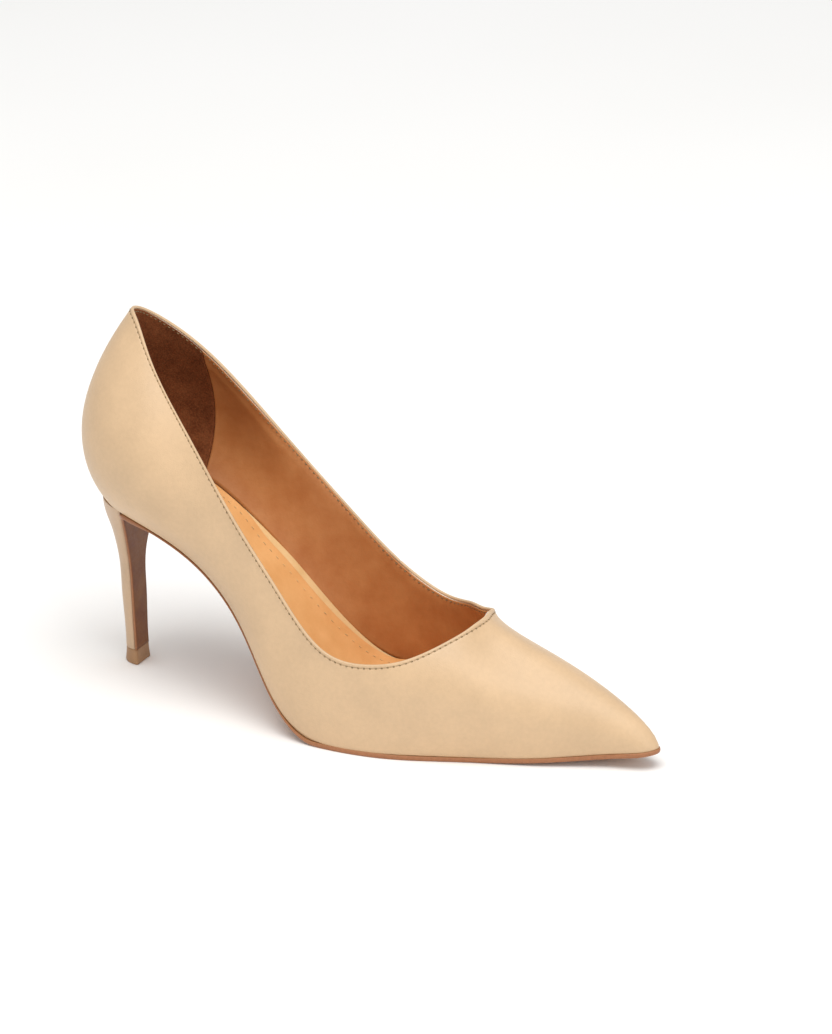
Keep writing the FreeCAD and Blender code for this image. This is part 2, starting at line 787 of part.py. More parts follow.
def tube_axis(height):
    """A point on the tube's axis, which follows the heel's lean."""
    return V(-1.0 - 0.042 * (height - TOP_PIECE_HEIGHT), 0, height)


def seat_block(height):
    """A block that ends at the seat's surface."""
    edges = profile_edges(constant(height), BACK_OF_SHOE - 10, 30.0 * LONG)
    first = edges[0].Vertexes[0].Point
    last = edges[-1].Vertexes[-1].Point
    low_first = V(first.x, first.y, -5)
    low_last = V(last.x, last.y, -5)
    edges += [Part.makeLine(last, low_last), Part.makeLine(low_last, low_first),
              Part.makeLine(low_first, first)]
    return Part.Face(Part.Wire(Part.__sortEdges__(edges))).extrude(V(0, 200, 0))


def make_heel_core():
    """Moulded heel with the tube's bore and the holes of screw and nails."""
    low = TOP_PIECE_HEIGHT + CEMENT
    high = HEEL_HEIGHT * 1.075
    wires = []
    for k in range(12):
        wires.append(heel_wire(low + (high - low) * k / 11, BREAST_FLAP + CEMENT, COVER + CEMENT))
    core = Part.makeLoft(wires, True, False).common(seat_block(OUTSOLE))
    bore = cylinder_between(tube_axis(low - 1), tube_axis(low + TUBE_LENGTH), TUBE_DIAMETER / 2)
    return cut_by(core, [bore, screw_solid(HOLE_ROOM)] + nail_solids(HOLE_ROOM))


def make_heel_cover():
    """Leather round the back of the heel, from breast edge to breast edge."""
    outside = []
    inside = []
    for k in range(19):
        turn = -90 + 10 * k
        outer_row = []
        inner_row = []
        for row, inset in ((outer_row, 0.0), (inner_row, COVER)):
            top = HEEL_HEIGHT
            for repeat in range(6):
                top = level_z(heel_rear(top, turn, inset).x, OUTSOLE)
            low = TOP_PIECE_HEIGHT + CEMENT
            for j in range(15):
                row.append(heel_rear(low + (top - low) * j / 14, turn, inset))
        outside.append(outer_row)
        inside.append(inner_row)
    return slab(outside, inside)


def make_heel_steel_tube():
    low = tube_axis(TOP_PIECE_HEIGHT + 0.5)
    high = tube_axis(TOP_PIECE_HEIGHT + TUBE_LENGTH)
    tube = cylinder_between(low, high, TUBE_DIAMETER / 2)
    return tube.cut(cylinder_between(low - V(0, 0, 2), high + V(0, 0, 2), TUBE_BORE / 2))


def pin_solid():
    foot = tube_axis(TOP_PIECE_HEIGHT - 3.5)
    pin = cylinder_between(foot, tube_axis(TOP_PIECE_HEIGHT + PIN_LENGTH), TUBE_BORE / 2 - PIN_FIT)
    head = Part.makeCylinder(2.4, 1.2, foot, tube_axis(TOP_PIECE_HEIGHT) - foot)
    return pin.fuse(head)


def make_top_piece():
    """Polyurethane top piece, moulded round the head of its pin."""
    wires = [heel_wire(0.0, 0.0, 0.0, 0.15), heel_wire(TOP_PIECE_HEIGHT / 2, 0.0, 0.0, 0.1),
             heel_wire(TOP_PIECE_HEIGHT, 0.0, 0.0, 0.0)]
    return Part.makeLoft(wires, True, False).cut(pin_solid())


# ---- all pieces -----------------------------------------------------------------------------------
PIECES = {
    "upper": make_upper,
    "side_seam_tape": make_side_seam_tape,
    "topline_tape": make_topline_tape,
    "topline_stitching": make_topline_stitching,
    "forepart_lining": make_forepart_lining,
    "heel_lining": make_heel_lining,
    "heel_counter": make_heel_counter,
    "toe_puff": make_toe_puff,
    "insole_board": make_insole_board,
    "shank_board": make_shank_board,
    "ball_cushion": make_ball_cushion,
    "steel_shank": make_steel_shank,
    "shank_rivets": lambda: Part.makeCompound(rivet_solids()),
    "bottom_filler": make_bottom_filler,
    "insole_cover": make_insole_cover,
    "heel_cushion": make_heel_cushion,
    "sock": make_sock,
    "sock_stitching": make_sock_stitching,
    "outsole": make_outsole,
    "heel_core": make_heel_core,
    "heel_cover": make_heel_cover,
    "heel_steel_tube": make_heel_steel_tube,
    "top_piece": make_top_piece,
    "top_piece_pin": pin_solid,
    "heel_screw": screw_solid,
    "heel_nails": lambda: Part.makeCompound(nail_solids()),
}

os.makedirs("parts", exist_ok=True)
TO_MIDDLE = V(-(BACK_OF_SHOE + SHOE_LENGTH / 2), -MIDDLE_Y, 0)
for name, make in PIECES.items():
    shape = make()
    shape.translate(TO_MIDDLE)
    if not shape.isValid():
        print("not valid:", name)
    if shape.Volume <= 0:
        print("inside out:", name)
    shape.exportStep("parts/" + name + ".step")
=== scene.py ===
"""High heel pump, right shoe: the finished looks of its pieces.

The pattern is worked out in millimetres with X measured from the centre of the heel's tip, +X to the
toe, +Y to the inner side of the foot and Z = 0 on the floor, and moved to the frame in metres when a
mesh is made. The wall of the shoe is one smooth surface in two parameters, and the upper, the linings
and the stitches are all laid at a depth from it.
"""
import math

import bpy
import mathutils
import numpy as np
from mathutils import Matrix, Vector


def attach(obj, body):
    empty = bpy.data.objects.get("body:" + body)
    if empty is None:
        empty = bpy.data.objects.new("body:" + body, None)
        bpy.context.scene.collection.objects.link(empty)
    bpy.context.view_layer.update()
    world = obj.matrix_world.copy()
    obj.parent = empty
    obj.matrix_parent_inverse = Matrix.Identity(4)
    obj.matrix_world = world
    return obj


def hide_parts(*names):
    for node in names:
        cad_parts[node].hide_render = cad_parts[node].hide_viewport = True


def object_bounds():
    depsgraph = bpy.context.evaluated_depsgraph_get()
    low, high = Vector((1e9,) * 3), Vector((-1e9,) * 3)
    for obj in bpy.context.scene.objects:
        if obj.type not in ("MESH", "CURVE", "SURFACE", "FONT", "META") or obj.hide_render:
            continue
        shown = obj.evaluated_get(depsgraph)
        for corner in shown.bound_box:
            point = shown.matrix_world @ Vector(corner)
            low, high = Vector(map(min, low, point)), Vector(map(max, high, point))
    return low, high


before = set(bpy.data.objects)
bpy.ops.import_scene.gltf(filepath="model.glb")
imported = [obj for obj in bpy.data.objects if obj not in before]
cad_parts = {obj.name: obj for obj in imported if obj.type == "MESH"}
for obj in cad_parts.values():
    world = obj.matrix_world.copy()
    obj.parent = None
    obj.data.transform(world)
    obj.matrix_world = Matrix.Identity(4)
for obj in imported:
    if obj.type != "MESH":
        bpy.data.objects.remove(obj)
CAD_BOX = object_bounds()

bl_info = {
    "name": "High heel pump",
    "version": (1, 0, 0),
    "blender": (4, 5, 0),
    "location": "View3D > Sidebar > Pump",
    "description": "Builds the leathers, stitches, sole and heel of a pointed pump round its frame",
    "category": "Object",
}

MM = 0.001                   # the pattern's millimetres in metres

# ---- sizes of the shoe, millimetres -----------------------------------------------------------------
BACK_OF_SHOE = -19.2         # furthest point of the heel curve behind the heel's tip
SHOE_LENGTH = 235.0
MIDDLE_Y = -0.9
TO_FRAME = np.array([-(BACK_OF_SHOE + SHOE_LENGTH / 2), -MIDDLE_Y, 0.0])

BACK_X, SEAT_Z, SEAT_SLOPE = -12.0, 70.0, -0.12
WAIST_X, WAIST_Z, WAIST_SLOPE = 50.0, 40.3, -1.03
BALL_X, TREAD_END_X = 95.0, 142.0
TOE_X, TOE_SPRING = 215.0, 6.0

UPPER, LINING, STIFFENER, TAPE, CEMENT = 1.1, 0.8, 0.8, 0.25, 0.05
OUTSOLE, INSOLE_BOARD, SHANK_BOARD, INSOLE_COVER = 1.8, 1.4, 1.0, 0.5
HEEL_CUSHION, SOCK = 1.5, 1.0
COVER, BREAST_FLAP, TOP_PIECE_HEIGHT = 0.7, 1.0, 6.0
SOLE_PROUD, LASTING_MARGIN, SEAT_MARGIN = 0.5, 12.0, 4.6

MARGIN_UNDER = OUTSOLE + CEMENT
MARGIN_TOP = MARGIN_UNDER + UPPER
BACKING_TOP = MARGIN_TOP + INSOLE_BOARD + SHANK_BOARD + 2 * CEMENT
COVER_UNDER = BACKING_TOP + CEMENT
COVER_TOP = COVER_UNDER + INSOLE_COVER
SOCK_UNDER = COVER_TOP + CEMENT
LINING_OUTER = UPPER + 2 * CEMENT + TAPE

# Stations round the shoe, from the back along the outer side to the toe and home along the inner
# side. Each row: feather edge x, y | topline x, y, height above the bottom profile | how the wall
# leaves the feather edge: outwards, upwards | how it meets the topline: inwards, upwards.
STATIONS = np.array((
    (-9.3, 0.0, -0.2, -0.1, 74.8, 0.62, 0.99, 0.70, 1.01),
    (-4.4, -14.8, 5.0, -6.1, 74.1, 0.73, 1.00, 0.79, 0.97),
    (8.0, -21.0, 14.4, -13.5, 66.7, 1.10, 1.04, 0.68, 0.78),
    (32.0, -20.6, 35.4, -23.0, 54.0, 1.02, 1.06, 0.53, 0.90),
    (56.0, -24.5, 56.9, -28.6, 46.8, 0.52, 0.93, 0.10, 0.96),
    (77.0, -35.5, 77.5, -32.4, 46.6, 0.22, 1.00, 0.11, 1.06),
    (98.0, -38.5, 97.0, -35.9, 38.2, 0.21, 1.09, 0.04, 0.80),
    (124.0, -35.5, 115.4, -34.5, 35.7, 0.06, 0.74, 0.32, 1.05),
    (150.0, -25.5, 129.4, -29.8, 39.1, 0.27, 0.77, 0.55, 0.90),
    (178.0, -15.3, 141.4, -17.8, 45.1, 0.13, 0.92, 0.69, 0.69),
    (203.0, -5.0, 146.9, -8.8, 48.3, 0.19, 0.72, 0.03, 0.47),
    (212.8, -1.7, 147.1, -3.2, 48.2, -0.02, 0.55, -0.05, 0.20),
    (215.6, 2.5, 146.5, 0.8, 47.8, -0.08, 0.55, -0.02, 0.18),
    (212.3, 6.5, 145.6, 4.8, 47.3, -0.00, 0.65, -0.07, 0.23),
    (199.0, 10.5, 144.3, 10.4, 46.2, 0.23, 1.03, 0.03, 0.53),
    (172.0, 18.5, 137.2, 16.5, 43.2, 0.25, 1.13, 0.63, 0.92),
    (144.0, 29.0, 127.0, 25.4, 39.9, 0.22, 0.71, 0.57, 0.94),
    (118.0, 36.0, 113.0, 33.1, 37.2, 0.11, 0.62, 0.08, 0.68),
    (92.0, 35.0, 92.9, 35.6, 45.4, 0.05, 1.13, 0.04, 0.86),
    (72.0, 27.5, 73.9, 34.0, 49.6, 0.32, 0.97, 0.00, 0.98),
    (54.0, 22.0, 55.8, 30.3, 48.1, 0.50, 0.94, -0.03, 0.96),
    (32.0, 20.5, 33.8, 25.3, 52.8, 0.88, 1.04, 0.46, 0.95),
    (8.0, 21.0, 9.9, 19.9, 63.0, 0.97, 1.03, 0.47, 0.81),
    (-4.4, 14.8, 0.0, 9.4, 71.2, 0.68, 1.01, 0.56, 0.94),
))
TOE_STATION, SEAM_STATION = 12, 18

# D-shaped sections of the heel: share of the heel's height, breast x, half width, depth behind it.
HEEL_SECTIONS = np.array((
    (0.00, 2.7, 5.10, 7.2),
    (0.10, 2.2, 4.80, 6.5),
    (0.40, 1.4, 5.25, 7.1),
    (0.60, 0.9, 6.00, 7.5),
    (0.71, 1.2, 8.30, 8.8),
    (0.81, 2.0, 11.50, 10.8),
    (0.91, 3.2, 15.50, 13.5),
    (1.00, 5.2, 19.80, 15.3),
    (1.08, 6.5, 21.50, 16.6),
))


def linear(hex_colour):
    """An sRGB hex colour as linear red, green, blue and 1 for alpha."""
    parts = [int(hex_colour[i:i + 2], 16) / 255 for i in (0, 2, 4)]
    return tuple(c / 12.92 if c <= 0.04045 else ((c + 0.055) / 1.055) ** 2.4 for c in parts) + (1.0,)


# ---- curves and levels ------------------------------------------------------------------------------
def hermite(t, start, end, start_slope, end_slope):
    """Cubic blend in t from start to end, with the slopes given per unit of t."""
    return ((2 * t**3 - 3 * t**2 + 1) * start + (3 * t**2 - 2 * t**3) * end
            + (t**3 - 2 * t**2 + t) * start_slope + (t**3 - t**2) * end_slope)


def ramp(value, low, high):
    """0 below low, 1 above high, smooth between."""
    t = np.clip((value - low) / (high - low), 0, 1)
    return t * t * (3 - 2 * t)


def bell(value, middle, width):
    """1 at the middle, falling away over the width as a normal curve does."""
    return np.exp(-((value - middle) / width) ** 2)


def bottom(x):
    """Height of the outsole's underside: seat, two cubics through the waist, flat tread, toe spring."""
    seat = SEAT_Z + SEAT_SLOPE * (x - BACK_X)
    back_span = WAIST_X - BACK_X
    back = hermite((x - BACK_X) / back_span, SEAT_Z, WAIST_Z, SEAT_SLOPE * back_span, WAIST_SLOPE * back_span)
    front_span = BALL_X - WAIST_X
    front = hermite((x - WAIST_X) / front_span, WAIST_Z, 0.0, WAIST_SLOPE * front_span, 0.0)
    spring = TOE_SPRING * ((x - TREAD_END_X) / (TOE_X - TREAD_END_X)) ** 2
    stretches = [x < BACK_X, x < WAIST_X, x < BALL_X, x < TREAD_END_X]
    return np.select(stretches, [seat, back, front, 0.0 * x], spring)


def stretch(x):
    """Length of the bottom profile per millimetre of x."""
    slope = (bottom(x + 0.05) - bottom(x - 0.05)) / 0.1
    return np.sqrt(1 + slope * slope)


def level(x, y, height):
    """Points over the places x, y at a height measured square to the bottom profile."""
    x, y, height = np.broadcast_arrays(np.asarray(x, float), y, height)
    return np.stack([x, y, bottom(x) + height * stretch(x)], -1)


class Loop:
    """Cubic spline through points round a closed loop, with its slope and curvature continuous."""

    def __init__(self, knots, points):
        """The second derivatives solve the cyclic system that makes the slopes meet at each knot."""
        self.knots = np.asarray(knots, float)
        self.points = np.asarray(points, float)
        count = len(self.points)
        span = np.diff(self.knots)
        before = np.roll(span, 1)
        step = (np.roll(self.points, -1, 0) - self.points) / span[:, None]
        system = np.diag(2 * (before + span))
        index = np.arange(count)
        system[index, (index + 1) % count] += span
        system[index, (index - 1) % count] += before
        self.bend = np.linalg.solve(system, 6 * (step - np.roll(step, 1, 0)))

    def at(self, u, order=0):
        """The point, or the first derivative for order 1, at the places u."""
        u = np.mod(np.asarray(u, float), self.knots[-1])
        count = len(self.points)
        i = np.clip(np.searchsorted(self.knots, u, side="right") - 1, 0, count - 1)
        after = (i + 1) % count
        span = (self.knots[i + 1] - self.knots[i])[..., None]
        b = (u - self.knots[i])[..., None] / span
        a = 1 - b
        here, there = self.points[i], self.points[after]
        bend_here, bend_there = self.bend[i], self.bend[after]
        if order == 0:
            return a * here + b * there + ((a**3 - a) * bend_here + (b**3 - b) * bend_there) * span**2 / 6
        return (there - here) / span + ((1 - 3 * a * a) * bend_here + (3 * b * b - 1) * bend_there) * span / 6


class Wall:
    """The outside of the shoe: a cubic blend in v from the feather edge (0) to the topline (1)."""

    def __init__(self):
        feather_x, feather_y, top_x, top_y, top_height, flare, rise, lean, end_rise = STATIONS.T
        slope = (bottom(feather_x + 0.05) - bottom(feather_x - 0.05)) / 0.1
        length = np.sqrt(1 + slope * slope)
        foot = OUTSOLE + CEMENT
        foot_x, foot_z = feather_x - slope / length * foot, bottom(feather_x) + foot / length
        feather = np.stack([foot_x, feather_y, foot_z], 1)
        topline = np.stack([top_x, top_y, bottom(top_x) + top_height], 1)
        chord = (np.linalg.norm(np.roll(feather, -1, 0) - feather, axis=1)
                 + np.linalg.norm(np.roll(topline, -1, 0) - topline, axis=1)) / 2
        self.stations = np.concatenate([[0.0], np.cumsum(chord)])
        self.around = self.stations[-1]
        self.feather = Loop(self.stations, feather)
        self.topline = Loop(self.stations, topline)
        run = self.feather.at(self.stations[:-1], 1)
        outward = np.stack([run[:, 1], -run[:, 0], 0 * run[:, 0]], 1)
        outward /= np.linalg.norm(outward, axis=1)[:, None]
        self.turn = 1.0 if outward[0, 0] < 0 else -1.0
        outward *= self.turn
        up = np.array([0.0, 0.0, 1.0])
        reach = np.linalg.norm(topline - feather, axis=1)[:, None]
        self.leaving = Loop(self.stations, (outward * flare[:, None] + up * rise[:, None]) * reach)
        self.meeting = Loop(self.stations, (up * end_rise[:, None] - outward * lean[:, None]) * reach)

    def blend(self, u, v, order_u=0, order_v=0):
        feather, topline = self.feather.at(u, order_u), self.topline.at(u, order_u)
        leaving, meeting = self.leaving.at(u, order_u), self.meeting.at(u, order_u)
        v = v[..., None]
        if order_v == 0:
            return hermite(v, feather, topline, leaving, meeting)
        return (6 * v * v - 6 * v) * (feather - topline) + (3 * v * v - 4 * v + 1) * leaving \
            + (3 * v * v - 2 * v) * meeting

    def layer(self, u, v, depth=0.0):
        """Points at a depth inside the wall; u and v are arrays of one shape."""
        u, v, depth = np.broadcast_arrays(u, v, depth)
        inward = np.cross(self.blend(u, v, 0, 1), self.blend(u, v, 1, 0)) * self.turn
        inward /= np.linalg.norm(inward, axis=-1)[..., None]
        return self.blend(u, v) + inward * depth[..., None]

    def lengths(self, u, steps=160):
        """Length up the wall from the feather edge at steps + 1 even values of v, a row for each u."""
        v = np.linspace(0, 1, steps + 1)
        grid = self.blend(*np.broadcast_arrays(u[:, None], v[None, :]))
        pieces = np.linalg.norm(np.diff(grid, axis=1), axis=2)
        return np.concatenate([np.zeros((len(u), 1)), np.cumsum(pieces, 1)], 1)

    def v_at(self, table, up):
        """The v that lies so many millimetres up the wall; up has a row for each row of the table."""
        up = np.clip(up, 0, table[:, -1:])
        steps = table.shape[1] - 1
        i = np.clip((table[:, :, None] <= up[:, None, :]).sum(1) - 1, 0, steps - 1)
        low = np.take_along_axis(table, i, 1)
        high = np.take_along_axis(table, i + 1, 1)
        return (i + (up - low) / (high - low)) / steps


WALL = Wall()
SEAM = WALL.stations[SEAM_STATION]
LINING_SPLIT_SHIFT = 9.0     # the suede reaches this far past the second stations from the back
LINING_SPLIT_OUT = WALL.stations[2] + LINING_SPLIT_SHIFT
LINING_SPLIT_IN = WALL.stations[22] - LINING_SPLIT_SHIFT

# ---- the row of stitches round the topline ----------------------------------------------------------
STITCH_DOWN = 1.5            # from the rolled edge down to the row
STITCH_PITCH = 2.3


class StitchRow:
    """Where the needle went through: places u at whole numbers of stitches along the row."""

    def __init__(self):
        fine = SEAM + np.linspace(0, WALL.around, 3001)
        table = WALL.lengths(fine)
        v = WALL.v_at(table, table[:, -1:] - STITCH_DOWN)
        path = WALL.layer(fine[:, None], v)[:, 0]
        along = np.concatenate([[0.0], np.cumsum(np.linalg.norm(np.diff(path, axis=0), axis=1))])
        self.count = int(round(along[-1] / STITCH_PITCH))
        self.fine, self.along = fine, along / along[-1] * self.count

    def count_at(self, u):
        return np.interp(SEAM + np.mod(u - SEAM, WALL.around), self.fine, self.along)

    def place(self, stitches):
        return np.interp(stitches, self.along, self.fine)


STITCHES = StitchRow()


# ---- from arrays to meshes --------------------------------------------------------------------------
def quads(rows, columns, wrap=False):
    """Faces of a grid of rows by columns as indices, with the last column joined to the first if wrap."""
    i, k = np.meshgrid(np.arange(rows - 1), np.arange(columns if wrap else columns - 1), indexing="ij")
    after = (k + 1) % columns
    return np.stack([i * columns + k, i * columns + after, (i + 1) * columns + after,
                     (i + 1) * columns + k], -1).reshape(-1, 4)


def make_piece(name, points, faces, pattern=None, marks=None):
    """A closed mesh in the frame. Points nearer than a thousandth of a millimetre become one, faces
    that this folds to a line go and those that lose a corner become triangles. The pattern gives
    each point's place on the leather for the UV map, and marks are named values at the points.
    Faces are turned so that the volume is positive."""
    where = points.reshape(-1, 3)
    faces = np.asarray(faces)
    a, b, c, d = (where[faces[:, k]] for k in range(4))
    if np.einsum("ij,ij->i", a, np.cross(b, c) + np.cross(c, d)).sum() < 0:
        faces = faces[:, ::-1]
    kept, weld = np.unique(np.round(where, 3), axis=0, return_index=True, return_inverse=True)[1:]
    weld = weld.reshape(-1)
    welded = weld[faces]
    same = welded == np.roll(welded, -1, 1)
    whole = (same.sum(1) == 0) & (welded[:, 0] != welded[:, 2]) & (welded[:, 1] != welded[:, 3])
    threes = same.sum(1) == 1
    keep = ~same[threes]
    corner_sets = [faces[whole], faces[threes][keep].reshape(-1, 3)]
    polygons = [row for corners in corner_sets for row in weld[corners].tolist()]
    mesh = bpy.data.meshes.new(name)
    mesh.from_pydata(((where[kept] + TO_FRAME) * MM).tolist(), [], polygons)
    mesh.polygons.foreach_set("use_smooth", np.ones(len(mesh.polygons), bool))
    if pattern is not None:
        corners = np.concatenate([corners.reshape(-1) for corners in corner_sets])
        layer = mesh.uv_layers.new(name="pattern")
        layer.data.foreach_set("uv", pattern.reshape(-1, 2)[corners].astype(np.float32).reshape(-1))
    for mark, values in (marks or {}).items():
        layer = mesh.attributes.new(mark, "FLOAT", "POINT")
        layer.data.foreach_set("value", values.reshape(-1)[kept].astype(np.float32))
    mesh.update()
    piece = bpy.data.objects.new(name, mesh)
    bpy.context.scene.collection.objects.link(piece)
    return piece


def strip_faces(rows, points):
    """Faces of a closed strip: a loop of points for each row, joined row to row, and its two ends
    closed by quads between the loop's first half and its second half."""
    faces = [quads(rows, points, True)]
    k = np.arange(points // 2 - 1)
    end = np.stack([k, points - 1 - k, points - 2 - k, k + 1], -1)
    faces += [end, end[:, ::-1] + (rows - 1) * points]
    return np.concatenate(faces)


def strip_piece(name, outside, inside, pattern=None, marks=None):
    """A closed solid from two grids of one shape, rows along and columns across. The pattern and the
    marks are grids of that shape too, and both faces take them."""
    def both(grid):
        return np.concatenate([grid, grid[:, ::-1]], 1)
    loop = np.concatenate([outside, inside[:, ::-1]], 1)
    return make_piece(name, loop, strip_faces(loop.shape[0], loop.shape[1]),
                      None if pattern is None else both(pattern),
                      {mark: both(grid) for mark, grid in (marks or {}).items()})


def finish_piece(piece, material, slot, *nodes):
    """Gives a piece its material and its place in the frame."""
    piece.data.materials.append(material)
    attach(piece, "root")
    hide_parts(*nodes)
    return piece


def capsules(name, centre, along, out, side, length, width, height):
    """Small rounded threads: each is an ellipse section carried along a bowed line, thin at its
    ends, which dip below the face it lies on. All arrays have a row for each thread."""
    rings, around = 7, 6
    t = np.linspace(-1, 1, rings)
    turn = np.arange(around) * 2 * math.pi / around
    thick = np.sqrt(np.clip(1 - (t * 0.98) ** 4, 0.02, 1))
    bow = height * (1 - 1.6 * t**2)
    spine = centre[:, None, :] + along[:, None, :] * (t * length / 2)[None, :, None] \
        + out[:, None, :] * bow[None, :, None]
    ring = side[:, None, None, :] * (np.cos(turn)[None, :] * thick[:, None] * width / 2)[None, :, :, None] \
        + out[:, None, None, :] * (np.sin(turn)[None, :] * thick[:, None] * height)[None, :, :, None]
    points = spine[:, :, None, :] + ring
    body = quads(rings, around, True)
    cap = np.array([[0, 1, 2, 3], [0, 3, 4, 5]])
    one = np.concatenate([body, cap[:, ::-1], cap + (rings - 1) * around])
    count = len(centre)
    faces = (one[None] + (np.arange(count) * rings * around)[:, None, None]).reshape(-1, 4)
    return make_piece(name, points, faces)


# ---- the leather wall -------------------------------------------------------------------------------
EDGE_RADIUS = 0.56           # of the rolled topline edge
EDGE_TURN = np.radians([15, 32, 50, 68, 84])
TOP_ZONE = np.array([5.0, 4.0, 3.3, 2.8, 2.4, 2.1, 1.9, 1.75, 1.62, 1.5, 1.38, 1.25, 1.1, 0.95, 0.8,
                     EDGE_RADIUS])
FOOT_ZONE = np.array([0.0, 0.2, 0.45, 0.8, 1.3])
BODY_ROWS = 26
WALL_COLUMNS = 900
SEAM_ROUNDING = np.array([0.0, 0.1, 0.22, 0.38, 0.6, 0.9])


def columns_between(start, end, count):
    """Even places from start to end with close ones at both ends, for the rounding of the cut edges."""
    middle = np.linspace(start + 1.3, end - 1.3, count)
    return np.concatenate([start + SEAM_ROUNDING, middle, end - SEAM_ROUNDING[::-1]])


def from_ends(u):
    """Distance of each place from the nearer end of its strip."""
    return np.minimum(u - u[0], u[-1] - u)


def drop_below(table, up):
    """Distance below the topline of places so far up the wall."""
    return table[:, -1:] - up


def inward_at(u):
    """Unit vectors in plan, square to the feather edge and into the shoe."""
    run = WALL.feather.at(u, 1)
    inward = np.stack([-run[..., 1], run[..., 0]], -1) * WALL.turn
    return inward / np.linalg.norm(inward, axis=-1)[..., None]


def turned_in(u, reach, height):
    """Points of the lasting margin: so far in from the feather edge, at a level of the bottom."""
    edge, inward = WALL.feather.at(u), inward_at(u)
    x = edge[:, :1] + inward[:, :1] * reach
    y = edge[:, 1:2] + inward[:, 1:2] * reach
    return level(x, y, height)


def swell(points):
    """A slow unevenness of lasted leather, under a tenth of a millimetre: three crossed sine waves."""
    x, y, z = points[..., 0], points[..., 1], points[..., 2]
    return 0.035 * np.sin(0.115 * x + 0.06 * z) + 0.03 * np.sin(0.19 * y - 0.10 * x + 1.7) \
        + 0.025 * np.sin(0.21 * z + 0.13 * y + 0.4)


CREASE_PLACES = ((230.0, 6.0, 7.0, 3.6), (238.0, 13.0, 5.0, 3.2), (262.0, 27.0, 5.0, 3.0),
                 (300.0, 8.0, 7.0, 4.0), (72.0, 16.0, 9.0, 5.0))


def crease_mark(u, drop):
    """Where the leather has fine creases from walking and lasting: the sum of soft spots, each with
    its place round the shoe, its distance below the topline and its two sizes."""
    u = np.mod(u, WALL.around)
    total = 0.0
    for middle, down, wide, tall in CREASE_PLACES:
        total = total + bell(u, middle, wide) * bell(drop, down, tall)
    return np.clip(total, 0, 1)


def build_upper():
    """The upper: margin under the insole, the feather edge, the wall with the groove that the
    stitches pull, the rolled topline edge and home down the flesh side. Its ends butt at the seam."""
    u = columns_between(SEAM + 0.06, SEAM + WALL.around - 0.06, WALL_COLUMNS)
    table = WALL.lengths(u)
    total = table[:, -1:]
    share = np.linspace(0, 1, BODY_ROWS + 1)[1:-1]
    low, high = FOOT_ZONE[-1], TOP_ZONE[0]
    body = low + (total - high - low) * share
    up = np.concatenate([0 * total + FOOT_ZONE, body, total - TOP_ZONE,
                         total - EDGE_RADIUS * (1 - np.sin(EDGE_TURN))], 1)
    rolled = EDGE_RADIUS * (1 - np.cos(EDGE_TURN))
    drop = drop_below(table, up)
    count = up.shape[1] - len(rolled)
    tuck = 0.12 * np.clip(1 - up / 0.9, 0, 1) ** 2
    groove = 0.15 * bell(drop, STITCH_DOWN, 0.3) - 0.06 * bell(drop, 0.7, 0.4) - 0.03 * bell(drop, 2.5, 0.7)
    depth = tuck + groove
    depth[:, count:] = groove[:, count - 1:count] + rolled
    depth = depth + 0.32 * np.clip(1 - from_ends(u) / 0.8, 0, 1)[:, None] ** 2
    v = WALL.v_at(table, up)
    columns = np.broadcast_to(u[:, None], v.shape)
    smooth = WALL.layer(columns, v)
    depth = depth - swell(smooth) * ramp(drop, 4, 10) * ramp(up, 1, 6)
    outside = WALL.layer(columns, v, depth)
    back_up = np.where(up < low, UPPER + up * (1 - UPPER / low) + 0 * up, up)
    thick = UPPER + (2 * EDGE_RADIUS - UPPER) * (1 - ramp(drop, 0.8, 4.0))
    thick[:, count:] = 2 * EDGE_RADIUS - rolled
    inside = WALL.layer(columns, WALL.v_at(table, back_up), thick)
    toe = np.abs(np.mod(u, WALL.around) - WALL.stations[TOE_STATION])
    margin = 2.6 + (LASTING_MARGIN - 2.6) * ramp(toe, 4.0, 60.0)
    back = np.abs(np.mod(u + WALL.around / 2, WALL.around) - WALL.around / 2)
    margin = (SEAT_MARGIN + (margin - SEAT_MARGIN) * ramp(back, 6.0, 24.0))[:, None]
    reach = np.concatenate([margin, margin * 0.6, 0 * margin + 1.3, 0 * margin + 0.7], 1)
    under = turned_in(u, reach, MARGIN_UNDER)
    over = turned_in(u, np.maximum(reach, UPPER + 0.4), MARGIN_TOP)
    pattern = np.stack([np.broadcast_to(STITCHES.count_at(u)[:, None], v.shape), drop], -1)
    edge_pattern = np.repeat(pattern[:, :1], reach.shape[1], 1)
    crease = crease_mark(columns, drop)
    outer, inner = np.concatenate([under, outside], 1), np.concatenate([over, inside], 1)
    marks = {"creases": np.concatenate([0 * reach, crease], 1)}
    return strip_piece("upper_leather", outer, inner, np.concatenate([edge_pattern, pattern], 1), marks)


COUNTER_FRONT_X, COUNTER_TOP, PUFF_BACK_X, SKIVE = 44.0, 0.86, 162.0, 12.0
LINING_DROP = 0.75           # from the rolled edge down to the lining's skived edge


def stiffened(points, v):
    """1 where the heel counter or the toe puff lies under the leather, 0 away from them."""
    x = points[..., 0]
    back = 1 - ramp(x, COUNTER_FRONT_X, COUNTER_FRONT_X + SKIVE)
    back = back * (1 - ramp(v, COUNTER_TOP, COUNTER_TOP + 0.08))
    return np.maximum(back, ramp(x, PUFF_BACK_X - SKIVE, PUFF_BACK_X))


